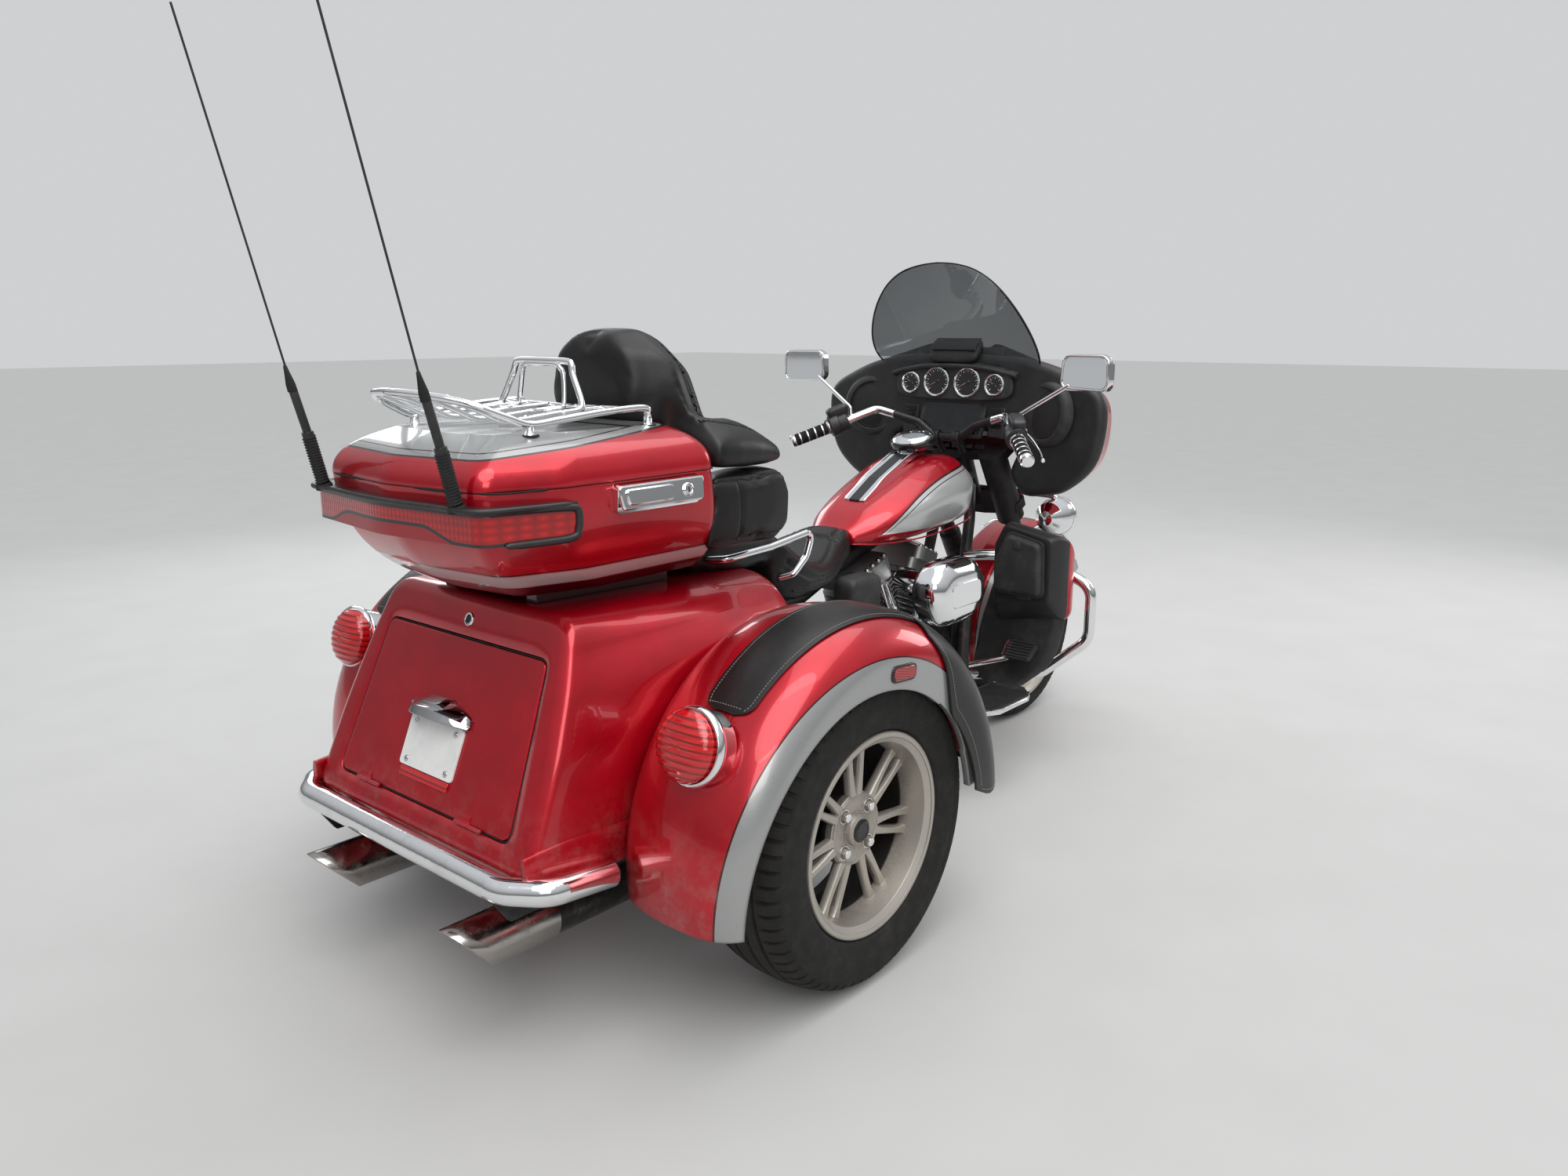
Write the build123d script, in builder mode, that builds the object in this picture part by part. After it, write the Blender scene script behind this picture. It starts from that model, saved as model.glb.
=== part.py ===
from build123d import *
import os
from math import cos, radians, sin, tan

# A three-wheeled touring motorcycle, in millimetres.
# +X is forward, +Y is the rider's left and +Z is up. The origin is on the floor, under the middle of the whole.
# A length along X is given ahead of the rear axle, and ahead() turns it into X. The right side has negative Y.

REAR_AXLE_X = -599.0
WHEELBASE = 1670.0
TOUCH = 0.3

# Rear wheels
REAR_TYRE_R = 322.0
REAR_TYRE_W = 205.0
REAR_SEAT_R = 194.0
REAR_WHEEL_Y = 566.0
REAR_HUB_R = 76.0
REAR_HUB_FACE = 46.0
REAR_BARREL_R = 50.0
REAR_DISC_R = 142.0
SPINDLE_R = 20.0
KNUCKLE_Y = 446.0
LUGS = 4
LUG_CIRCLE_R = 54.0
LUG_R = 11.0
LUG_H = 9.0

# Front wheel
FRONT_TYRE_R = 319.0
FRONT_TYRE_W = 130.0
FRONT_SEAT_R = 241.0
FRONT_HUB_R = 38.0
FRONT_HUB_HALF = 60.0
FRONT_DISC_R = 150.0
FRONT_DISC_Y = 52.0
FRONT_AXLE_R = 12.5
DISC_T = 5.0

# What both kinds of wheel share
TWIN_SPOKES = 7
SPOKE_W = 13.0
SPOKE_T = 14.0
FLANGE_RISE = 14.0
FLANGE_T = 6.0

# Steering and fork
RAKE = 26.0
FORK_RAKE = 32.0
TRAIL = 100.0
FORK_Y = 126.0
SLIDER_R = 34.0
STANCHION_R = 24.0
FORK_COVER_R = 41.0
CLAMP_TOP_Z = 935.0
CLAMP_LOW_Z = 765.0
CLAMP_T = 30.0
HEAD_TUBE_R = 31.0
STEM_R = 14.0
FENDER_FRONT_R = 352.0
FENDER_FRONT_SHIFT = 16.0
FENDER_FRONT_HALF = 84.0
NECK_HALF = 188.0
NECK_TOP_Z = 985.0

# Rear body with its trunk
BODY_WALL = 5.0
FACE_LEAN = 22.7
FACE_FOOT_D = -602.0
FACE_FOOT_Z = 372.0
FACE_LENGTH = 444.0
FACE_HALF_FOOT = 366.0
FACE_HALF_TOP = 288.0
BODY_TOP_FRONT_D = 190.0
BODY_TOP_REAR_Z = 782.0
BODY_TOP_FRONT_Z = 764.0
TRUNK_FRONT_D = -120.0
DOOR_FOOT = 26.0
DOOR_HEIGHT = 336.0
DOOR_HALF_FOOT = 290.0
DOOR_HALF_TOP = 262.0
DOOR_T = 9.0
DOOR_GAP = 5.5
PLATE_T = 5.0
HINGE_UP = 29.5
HINGE_OUT = 3.9
HINGE_R = 4.2
HINGE_LEAF_T = 2.0
HINGE_Y = 170.0
HINGE_HALF = 40.0

# Rear fenders, as radii about the wheel's axis
FENDER_INNER_Y = 385.0
FENDER_OUTER_Y = 692.0
FENDER_CROWN_R = 437.0
FENDER_WALL = 5.0
FENDER_TAIL = 8.0
FENDER_NOSE = 4.0
ARCH_R = 345.0
ARCH_D = -48.0
ARCH_Z = 284.0
COVER_T = 3.0
COVER_INNER_Y = 500.0
COVER_OUTER_Y = 612.0
COVER_REAR_ANGLE = 132.0
COVER_LEAVES_ANGLE = 19.3
FLAP_LENGTH = 199.0

# Top box
BOX_FLOOR_Z = 808.0
BOX_LIP_Z = 1017.0
BOX_WALL = 5.0
LID_GAP = 1.5
PAD_SPLIT_GAP = 6.0
BOX_HINGE_Y = 300.0
BOX_HINGE_Z = 1010.0
BOX_HINGE_R = 5.0
PAD_BACK_D = -41.0

# Bumper
BUMPER_R = 25.0
BUMPER_Z = 343.0
BUMPER_HALF = 400.0

# The glove lids' hinges, at their feet
LID_HINGE_D = WHEELBASE - 498.0
LID_HINGE_Z = 538.0
LID_HINGE_R = 4.0

# Engine
CRANK_D = 900.0
CRANK_Z = 365.0
CYLINDER_TILT = 22.5
FINS = 8
FIN_PITCH = 14.0
FIN_T = 5.0

PARTS = "parts"
os.makedirs(PARTS, exist_ok=True)


def ahead(distance):
    """X of a place this far ahead of the rear axle."""
    return REAR_AXLE_X + distance


def behind(distance):
    """Distance ahead of the rear axle of a place this far behind the front axle."""
    return WHEELBASE - distance


def at(d, y, z):
    """A point by its distance ahead of the rear axle."""
    return (ahead(d), y, z)


def across(d):
    """A plane square to X, whose own axes are Y and Z."""
    return Plane(origin=(ahead(d), 0, 0), x_dir=(0, 1, 0), z_dir=(1, 0, 0))


def side(y):
    """A plane square to Y, whose own axes are X and Z and whose normal points to the right."""
    return Plane(origin=(REAR_AXLE_X, y, 0), x_dir=(1, 0, 0), z_dir=(0, -1, 0))


def level(z):
    """A level plane, whose own axes are X, from the rear axle, and Y."""
    return Plane(origin=(REAR_AXLE_X, 0, z), x_dir=(1, 0, 0), z_dir=(0, 0, 1))


def keep(name, made):
    """Labels a finished piece and writes its STEP file."""
    made.part.label = name
    export_step(made.part, os.path.join(PARTS, name + ".step"))


def keep_pair(name, right):
    """Keeps a right-hand piece and its mirror image on the left."""
    keep(name + "_right", right)
    with BuildPart() as left:
        mirror(right.part, about=Plane.XZ)
    keep(name + "_left", left)


def eased(points, radius, closed):
    """A radius for each corner, no larger than its two edges leave room for."""
    places = [Vector(*point) for point in points]
    corners = list(range(len(places))) if closed else list(range(1, len(places) - 1))
    wanted = radius if isinstance(radius, list) else [radius] * len(corners)
    radii = []
    for corner, want in zip(corners, wanted):
        back = places[corner - 1] - places[corner]
        onward = places[(corner + 1) % len(places)] - places[corner]
        turn = radians(180 - back.get_angle(onward))
        room = 0.47 * min(back.length, onward.length) / max(tan(turn / 2), 0.001)
        radii.append(min(want, room))
    return radii


def face(plane, points, radius=0.0):
    """A closed face with rounded corners."""
    with BuildSketch(plane) as drawn:
        with BuildLine():
            FilletPolyline(*points, radius=eased(points, radius, True), close=True)
        make_face()
    return drawn.sketch


def whole(half):
    """Closes a half outline of (y, height) points with its mirror image."""
    return list(half) + [(-y, z) for y, z in reversed(half)]


def add_slab(plane, points, radius, thickness, mode=Mode.ADD):
    """Adds a flat plate that stands on its plane's positive side."""
    extrude(face(plane, points, radius), amount=thickness, mode=mode)


def add_loft(sections, ruled=False, mode=Mode.ADD):
    """Adds a body through outlines given as (plane, points, corner radius)."""
    loft([face(*section) for section in sections], ruled=ruled, mode=mode)


def add_tube(points, radius, bend=0.0, inner=0.0):
    """Adds a round tube along straight runs joined by arcs."""
    with BuildLine() as path:
        if len(points) == 2:
            Line(*points)
        else:
            FilletPolyline(*points, radius=eased(points, bend, False))
    with BuildSketch(Plane(origin=path.line @ 0, z_dir=path.line % 0)) as section:
        Circle(radius)
        if inner:
            Circle(inner, mode=Mode.SUBTRACT)
    sweep(section.sketch, path=path.line)


def add_turned(profile, centre, axis=(0, 1, 0), arc=360.0, start=(0, 0, 1), mode=Mode.ADD):
    """Adds a solid turned from (distance along the axis, radius) points, from a start direction."""
    normal = Vector(*axis).cross(Vector(*start))
    with BuildSketch(Plane(origin=centre, x_dir=axis, z_dir=normal)) as section:
        with BuildLine():
            Polyline(*profile, close=True)
        make_face()
    revolve(section.sketch, axis=Axis(centre, axis), revolution_arc=arc, mode=mode)


def add_round(start, end, radius, mode=Mode.ADD):
    """Adds a round bar from one point to another."""
    run = Vector(*end) - Vector(*start)
    with BuildSketch(Plane(origin=start, z_dir=run)) as section:
        Circle(radius)
    extrude(section.sketch, amount=run.length, mode=mode)


# Wheels: every profile is given as (distance outwards along the axle, radius)

def add_tyre(centre, outer_r, seat_r, width):
    """A road tyre with square shoulders and upright beads."""
    half = width / 2
    bead = half * 0.86
    bead_top = seat_r + FLANGE_RISE + 2
    shoulder_r = outer_r - 10
    belly_r = (outer_r + seat_r) / 2
    with BuildSketch(Plane(origin=centre, x_dir=(0, 1, 0), z_dir=(1, 0, 0))) as section:
        with BuildLine():
            ThreePointArc((-half * 0.76, shoulder_r), (0, outer_r), (half * 0.76, shoulder_r))
            ThreePointArc((half * 0.76, shoulder_r), (half * 0.94, shoulder_r - 18), (half, belly_r))
            ThreePointArc((half, belly_r), (half * 0.97, (belly_r + bead_top) / 2), (bead, bead_top))
            Polyline((bead, bead_top), (bead, seat_r), (-bead, seat_r), (-bead, bead_top))
            ThreePointArc((-bead, bead_top), (-half * 0.97, (belly_r + bead_top) / 2), (-half, belly_r))
            ThreePointArc((-half, belly_r), (-half * 0.94, shoulder_r - 18), (-half * 0.76, shoulder_r))
        make_face()
    revolve(section.sketch, axis=Axis(centre, (0, 1, 0)))


def add_rim(centre, seat_r, width, hub, face_at, out):
    """A cast rim, its hub as a (distance, radius) profile, and forked spokes that end face_at outwards."""
    bead = width / 2 * 0.86
    lip = bead + FLANGE_T
    barrel = [(bead, seat_r), (bead, seat_r + FLANGE_RISE), (lip, seat_r + FLANGE_RISE), (lip, seat_r + 4),
              (bead - 4, seat_r - 9), (bead * 0.35, seat_r - 18), (-bead * 0.6, seat_r - 18),
              (-bead + 4, seat_r - 9),
              (-lip, seat_r + 4), (-lip, seat_r + FLANGE_RISE), (-bead, seat_r + FLANGE_RISE), (-bead, seat_r),
              (-bead * 0.7, seat_r), (-bead * 0.6, seat_r - 7), (bead * 0.6, seat_r - 7), (bead * 0.7, seat_r)]
    add_turned([(out * w, r) for w, r in barrel], centre)
    add_turned([(out * w, r) for w, r in hub], centre)
    hub_r = max(r for w, r in hub)
    spoke_end = seat_r - 14
    for spoke in range(TWIN_SPOKES):
        turn = radians(90 + 360 * spoke / TWIN_SPOKES)
        foot = (centre[0], centre[1] + out * (face_at - SPOKE_T), centre[2])
        plane = Plane(origin=foot, x_dir=(cos(turn), 0, sin(turn)), z_dir=(0, out, 0))
        for fork in (-1, 1):
            arm = [(hub_r - 12, fork * 3), (hub_r - 12, fork * (3 + SPOKE_W)),
                   (spoke_end, fork * (13 + SPOKE_W)), (spoke_end, fork * 13)]
            add_slab(plane, arm, 0, SPOKE_T)


rear_centre = at(0, -REAR_WHEEL_Y, REAR_TYRE_R)
RIGHT = -1
rear_hub_end = REAR_WHEEL_Y - KNUCKLE_Y - TOUCH
rear_disc_w = -rear_hub_end + 26

with BuildPart() as rear_tyre:
    add_tyre(rear_centre, REAR_TYRE_R, REAR_SEAT_R, REAR_TYRE_W)
keep_pair("rear_tyre", rear_tyre)

with BuildPart() as rear_rim:
    rear_hub = [(REAR_HUB_FACE + 14, 0), (REAR_HUB_FACE + 14, 22), (REAR_HUB_FACE + 8, 31), (REAR_HUB_FACE, 34),
                (REAR_HUB_FACE, REAR_HUB_R - 4), (REAR_HUB_FACE - 4, REAR_HUB_R),
                (REAR_HUB_FACE - 26, REAR_HUB_R), (REAR_HUB_FACE - 34, REAR_BARREL_R),
                (-rear_hub_end, REAR_BARREL_R), (-rear_hub_end, SPINDLE_R + TOUCH),
                (-rear_hub_end + 60, SPINDLE_R + TOUCH), (-rear_hub_end + 60, 0)]
    add_rim(rear_centre, REAR_SEAT_R, REAR_TYRE_W, rear_hub, REAR_HUB_FACE - 6, RIGHT)
    nut_foot = (rear_centre[0], rear_centre[1] - REAR_HUB_FACE, rear_centre[2])
    with BuildSketch(Plane(origin=nut_foot, x_dir=(1, 0, 0), z_dir=(0, -1, 0))):
        with PolarLocations(LUG_CIRCLE_R, LUGS, start_angle=45):
            RegularPolygon(LUG_R, 6)
    extrude(amount=LUG_H)
    add_turned([(-rear_disc_w, REAR_BARREL_R - 4), (-rear_disc_w, REAR_DISC_R),
                (-rear_disc_w + DISC_T, REAR_DISC_R), (-rear_disc_w + DISC_T, REAR_BARREL_R - 4)], rear_centre)
keep_pair("rear_rim", rear_rim)

front_centre = at(WHEELBASE, 0, FRONT_TYRE_R)

with BuildPart() as front_tyre:
    add_tyre(front_centre, FRONT_TYRE_R, FRONT_SEAT_R, FRONT_TYRE_W)
keep("front_tyre", front_tyre)

with BuildPart() as front_rim:
    front_hub = [(-FRONT_HUB_HALF, FRONT_AXLE_R + TOUCH), (-FRONT_HUB_HALF, FRONT_HUB_R),
                 (-20, FRONT_HUB_R - 6), (20, FRONT_HUB_R - 6), (FRONT_HUB_HALF, FRONT_HUB_R),
                 (FRONT_HUB_HALF, FRONT_AXLE_R + TOUCH)]
    add_rim(front_centre, FRONT_SEAT_R, FRONT_TYRE_W, front_hub, SPOKE_T / 2, 1)
    for disc_y in (FRONT_DISC_Y, -FRONT_DISC_Y - DISC_T):
        add_turned([(disc_y, FRONT_HUB_R - 4), (disc_y, FRONT_DISC_R), (disc_y + DISC_T, FRONT_DISC_R),
                    (disc_y + DISC_T, FRONT_HUB_R - 4)], front_centre)
keep("front_rim", front_rim)


# Steering: everything that turns about the raked axis

def axis_d(z):
    """Where the steering axis is at a height."""
    return WHEELBASE + TRAIL - z * tan(radians(RAKE))


def leg_d(z):
    """Where a fork leg's centre is at a height."""
    return WHEELBASE - (z - FRONT_TYRE_R) * tan(radians(FORK_RAKE))


def clamp_plane(z):
    """A plane square to the steering axis, whose own axes are forward and Y."""
    lean = radians(RAKE)
    return Plane(origin=at(axis_d(z), 0, z), x_dir=(cos(lean), 0, sin(lean)), z_dir=(-sin(lean), 0, cos(lean)))


with BuildPart() as fork:
    clamp_front = 52.0
    clamp_back = 40.0
    clamp_shoulder = 24.0
    add_round(at(leg_d(300), -FORK_Y, 300), at(leg_d(640), -FORK_Y, 640), SLIDER_R)
    add_round(at(leg_d(630), -FORK_Y, 630), at(leg_d(CLAMP_TOP_Z), -FORK_Y, CLAMP_TOP_Z), STANCHION_R)
    cover_z = CLAMP_LOW_Z - 40
    add_round(at(leg_d(cover_z), -FORK_Y, cover_z), at(leg_d(CLAMP_TOP_Z), -FORK_Y, CLAMP_TOP_Z), FORK_COVER_R)
    mirror(about=Plane.XZ)
    add_round(at(WHEELBASE, -FORK_Y - 20, FRONT_TYRE_R), at(WHEELBASE, FORK_Y + 20, FRONT_TYRE_R), FRONT_AXLE_R)
    for clamp_z in (CLAMP_LOW_Z, CLAMP_TOP_Z):
        clamp = [(-clamp_back, -62), (-clamp_shoulder, -FORK_Y - 44), (clamp_front - 20, -FORK_Y - 44),
                 (clamp_front, -62), (clamp_front, 62), (clamp_front - 20, FORK_Y + 44),
                 (-clamp_shoulder, FORK_Y + 44), (-clamp_back, 62)]
        add_slab(clamp_plane(clamp_z).offset(-CLAMP_T / 2), clamp, 12, CLAMP_T)
    add_round(at(axis_d(CLAMP_LOW_Z), 0, CLAMP_LOW_Z), at(axis_d(CLAMP_TOP_Z), 0, CLAMP_TOP_Z), STEM_R)
    # Each caliper is a block behind its leg, with a slot for the disc that is open towards the hub
    caliper_plane = Plane(origin=at(WHEELBASE - 96, -FRONT_DISC_Y + 18, FRONT_TYRE_R + 88),
                          x_dir=(0.68, 0, 0.73), z_dir=(0, -1, 0))
    add_slab(caliper_plane, [(-44, -24), (44, -24), (44, 50), (-44, 50)], 12, 66)
    slot = [(-60, -60), (60, -60), (60, 32), (-60, 32)]
    add_slab(caliper_plane.offset(18 - 5), slot, 0, DISC_T + 10, mode=Mode.SUBTRACT)
    mirror(about=Plane.XZ)
keep("fork", fork)

with BuildPart() as front_fender:
    # Section of the fender as (y, radius); it is turned from behind the wheel over to its tip
    half = FENDER_FRONT_HALF
    skirt = FENDER_FRONT_R - 62
    crown = FENDER_FRONT_R
    outer = [(-half, skirt), (-half, crown - 26), (-half + 26, crown - 5), (0, crown), (half - 26, crown - 5),
             (half, crown - 26), (half, skirt)]
    inner = [(half - 3, skirt), (half - 3, crown - 27), (half - 27, crown - 8), (0, crown - 3),
             (-half + 27, crown - 8), (-half + 3, crown - 27), (-half + 3, skirt)]
    tail = radians(10)
    fender_centre = at(WHEELBASE + FENDER_FRONT_SHIFT, 0, FRONT_TYRE_R)
    add_turned(outer + inner, fender_centre, arc=163, start=(-cos(tail), 0, -sin(tail)))
    for boss_side in (-1, 1):
        add_round(at(leg_d(566), boss_side * (half - 2), 566), at(leg_d(566), boss_side * FORK_Y, 566), 13)
    add(fork.part, mode=Mode.SUBTRACT)
keep("front_fender", front_fender)

with BuildPart() as fairing:
    # Half outlines as (y, z), from the rider's side to the nose
    rear_half = [(112, 942), (150, 862), (235, 812), (372, 838), (452, 915), (478, 1030), (462, 1110),
                 (385, 1152), (285, 1192), (150, 1212)]
    middle_half = [(112, 952), (150, 880), (225, 835), (335, 852), (405, 920), (425, 1015), (408, 1085),
                   (345, 1130), (262, 1168), (140, 1190)]
    nose_half = [(40, 968), (70, 935), (105, 912), (150, 908), (185, 938), (196, 985), (186, 1030), (160, 1058),
                 (120, 1075), (60, 1084)]
    fairing_sections = [(across(behind(370)), whole(rear_half), 14),
                        (across(behind(255)), whole(middle_half), 14),
                        (across(behind(135)), whole(nose_half), 8)]
    add_loft(fairing_sections)
    neck = [(-NECK_HALF, 780), (NECK_HALF, 780), (NECK_HALF, NECK_TOP_Z), (-NECK_HALF, NECK_TOP_Z)]
    add_slab(across(behind(380)), neck, 0, 165, mode=Mode.SUBTRACT)
    # A bracket down to the top clamp carries it
    bracket = [(behind(358), 940), (behind(320), 940), (behind(320), NECK_TOP_Z + 4),
               (behind(358), NECK_TOP_Z + 4)]
    add_slab(side(40), bracket, 0, 80)
    add(fork.part, mode=Mode.SUBTRACT)
keep("fairing", fairing)

with BuildPart() as dash:
    dash_half = [(192, 974), (196, 880), (238, 824), (366, 848), (442, 920), (466, 1030), (450, 1102),
                 (378, 1142), (280, 1180), (150, 1200)]
    dash_back = [(192, 974), (198, 892), (232, 846), (346, 866), (420, 932), (444, 1030), (430, 1088),
                 (366, 1122), (272, 1160), (150, 1178)]
    add_loft([(across(behind(370) - TOUCH), whole(dash_half), 14), (across(behind(398)), whole(dash_back), 14)],
             ruled=True)
keep("dash", dash)

with BuildPart() as windshield:
    lean_d, lean_z = -190.0, 255.0
    run = (lean_d ** 2 + lean_z ** 2) ** 0.5
    up = (lean_d / run, 0, lean_z / run)
    foot = at(behind(318), 0, 1214)
    curve_r = 585.0
    screen_plane = Plane(origin=foot, x_dir=(0, 1, 0), z_dir=up)
    with BuildSketch(screen_plane) as band:
        with Locations((0, curve_r)):
            Circle(curve_r)
            Circle(curve_r - 4, mode=Mode.SUBTRACT)
        Rectangle(560, 190, align=(Align.CENTER, Align.CENTER), mode=Mode.INTERSECT)
    extrude(band.sketch, amount=330)
    screen_half = [(262, 0), (282, 60), (262, 150), (205, 245), (130, 300), (60, 316)]
    screen_face = Plane(origin=foot, x_dir=(0, 1, 0), z_dir=Vector(0, 1, 0).cross(Vector(*up)))
    extrude(face(screen_face, whole(screen_half), 30), amount=300, both=True, mode=Mode.INTERSECT)
    add(fairing.part, mode=Mode.SUBTRACT)
    add(dash.part, mode=Mode.SUBTRACT)
keep("windshield", windshield)

with BuildPart() as front_lamps:
    # The passing lamps on their bar, with the headlamp above
    passing = [(-62, 0), (-58, 22), (-34, 46), (0, 56), (22, 58), (30, 52), (34, 0)]
    add_turned(passing, at(behind(190), -240, 728), axis=(1, 0, 0))
    add_tube([at(behind(230), 0, 800), at(behind(208), -150, 796), at(behind(192), -240, 790),
              at(behind(190), -240, 755)], 9, 14)
    mirror(about=Plane.XZ)
    add_turned([(0, 0), (0, 88), (24, 84), (38, 62), (44, 0)], at(behind(135), 0, 996), axis=(1, 0, 0))
    add(fork.part, mode=Mode.SUBTRACT)
keep("front_lamps", front_lamps)

BAR_R = 13.0
GRIP_END = Vector(*at(behind(667), -401, 950))
BAR_BEND = Vector(*at(behind(477), -225, 1047))
grip_dir = (BAR_BEND - GRIP_END).normalized()


def across_middle(point):
    """The same place on the other side of the machine."""
    return Vector(point.X, -point.Y, point.Z)


def on_bar(distance):
    """A point along the right side of the bar, from its end."""
    return tuple(GRIP_END + grip_dir * distance)


with BuildPart() as handlebar:
    add_tube([tuple(GRIP_END), tuple(BAR_BEND), at(behind(434), -100, 1012), at(behind(430), -44, 972),
              at(behind(430), 44, 972), at(behind(434), 100, 1012), tuple(across_middle(BAR_BEND)),
              tuple(across_middle(GRIP_END))], BAR_R, [40, 45, 30, 30, 45, 40])
    for riser_y in (-36, 36):
        add_round(at(behind(430), riser_y, 972), at(axis_d(CLAMP_TOP_Z) - 34, riser_y, CLAMP_TOP_Z - 4), 15)
    add(fork.part, mode=Mode.SUBTRACT)
keep("handlebar", handlebar)

with BuildPart() as grips:
    # Grip, switch housing and lever on each side; the bar passes through them
    add_round(on_bar(-6), on_bar(118), 19)
    add_round(on_bar(122), on_bar(178), 26)
    add_round(on_bar(-8), on_bar(200), BAR_R + TOUCH, mode=Mode.SUBTRACT)
    lever_pivot = Vector(*on_bar(170)) + Vector(38, -12, 0)
    lever_tip = Vector(*on_bar(10)) + Vector(62, -18, -6)
    add_tube([tuple(Vector(*on_bar(165)) + Vector(20, -6, 0)), tuple(lever_pivot), tuple(lever_tip)], 7, 12)
    mirror(about=Plane.XZ)
    add(handlebar.part, mode=Mode.SUBTRACT)
keep("grips", grips)

with BuildPart() as mirrors:
    glass = Plane(origin=at(behind(520), -478, 1175), x_dir=(0.12, 0.99, 0), z_dir=(0.99, -0.12, 0))
    add_slab(glass, [(-75, -44), (75, -50), (72, 46), (-70, 46)], 26, 24)
    stem_foot = Vector(*on_bar(190))
    add_tube([tuple(stem_foot), tuple(stem_foot + Vector(6, -6, 34)), at(behind(512), -430, 1140)], 6, 14)
    mirror(about=Plane.XZ)
    add(handlebar.part, mode=Mode.SUBTRACT)
    add(grips.part, mode=Mode.SUBTRACT)
keep("mirrors", mirrors)


# Frame, axle and engine

with BuildPart() as frame:
    head_low = CLAMP_LOW_Z + CLAMP_T * 0.72
    head_high = CLAMP_TOP_Z - CLAMP_T * 0.72
    add_round(at(axis_d(head_low), 0, head_low), at(axis_d(head_high), 0, head_high), HEAD_TUBE_R)
    add_tube([at(axis_d(850), 0, 850), at(1180, 0, 815), at(700, 0, 672), at(560, 0, 620), at(470, 0, 590)],
             32, 60)
    add_tube([at(axis_d(815) - 14, -14, 815), at(behind(385), -60, 725), at(behind(465), -80, 400),
              at(behind(480), -88, 232), at(behind(560), -100, 205), at(470, -140, 205), at(430, -140, 260),
              at(470, -20, 590)], 17, [50, 200, 60, 50, 40, 40])
    add_tube([at(560, -22, 622), at(420, -120, 652), at(225, -150, 652), at(60, -150, 560), at(20, -150, 356)],
             15, [60, 60, 50])
    add_round(at(64, -150, 566), at(TRUNK_FRONT_D + BODY_WALL, -150, 566), 14)
    add_round(at(1100, 0, 788), at(1100, -48, 788), 12)
    mirror(about=Plane.XZ)
    stem_low = at(axis_d(head_low - 5), 0, head_low - 5)
    stem_high = at(axis_d(head_high + 5), 0, head_high + 5)
    add_round(stem_low, stem_high, STEM_R + TOUCH, mode=Mode.SUBTRACT)
keep("frame", frame)

with BuildPart() as rear_axle:
    housing = [(-KNUCKLE_Y, 0), (-KNUCKLE_Y, 74), (-KNUCKLE_Y + 16, 74), (-KNUCKLE_Y + 26, 44), (-110, 34),
               (-80, 60), (-40, 70), (0, 72), (0, 0)]
    add_turned(housing, at(0, 0, REAR_TYRE_R))
    add_round(at(0, -KNUCKLE_Y, REAR_TYRE_R), at(0, -KNUCKLE_Y - 58, REAR_TYRE_R), SPINDLE_R)
    add_tube([at(30, -120, REAR_TYRE_R), at(250, -135, 292), at(432, -140, 262)], 24, 150)
    mirror(about=Plane.XZ)
    add(frame.part, mode=Mode.SUBTRACT)
keep("rear_axle", rear_axle)

with BuildPart() as engine:
    # Crankcase and gearbox as one block, the primary cover on the left and the cam cover on the right
    case = [(690, 232), (1120, 232), (1150, 330), (1090, 440), (1010, 474), (790, 474), (700, 450), (600, 470),
            (500, 430), (470, 300), (520, 228)]
    add_slab(side(112), case, 26, 224)
    primary = [(585, 308), (700, 270), (1000, 270), (1085, 336), (1060, 440), (960, 470), (640, 470),
               (570, 400)]
    add_slab(side(236), primary, 40, 130)
    cam_cover = [(790, 330), (900, 272), (1010, 330), (1010, 430), (900, 470), (800, 440)]
    add_slab(side(-110), cam_cover, 40, 58)
    add_slab(across(behind(424)), [(-66, 300), (66, 300), (66, 560), (-66, 560)], 10, 34)
    add(frame.part, mode=Mode.SUBTRACT)
keep("engine", engine)


def cylinder_plane(tilt, distance):
    """A plane square to a cylinder, at a distance from the crank."""
    lean = radians(tilt)
    return Plane(origin=at(CRANK_D + distance * sin(lean), 0, CRANK_Z + distance * cos(lean)),
                 x_dir=(cos(lean), 0, -sin(lean)), z_dir=(sin(lean), 0, cos(lean)))


with BuildPart() as cylinders:
    # Two finned barrels with their heads and rocker covers
    for tilt in (-CYLINDER_TILT, CYLINDER_TILT):
        core = cylinder_plane(tilt, 138)
        add_slab(core, [(-58, -62), (58, -62), (58, 62), (-58, 62)], 30, 128)
        for fin in range(FINS):
            fin_at = cylinder_plane(tilt, 146 + fin * FIN_PITCH)
            add_slab(fin_at, [(-74, -84), (74, -84), (74, 84), (-74, 84)], 34, FIN_T)
        add_slab(cylinder_plane(tilt, 262), [(-64, -88), (64, -88), (64, 88), (-64, 88)], 22, 32)
        add_slab(cylinder_plane(tilt, 294), [(-54, -98), (54, -98), (54, 98), (-54, 98)], 26, 36)
    add(engine.part, mode=Mode.SUBTRACT)
    add(frame.part, mode=Mode.SUBTRACT)
keep("cylinders", cylinders)

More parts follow.
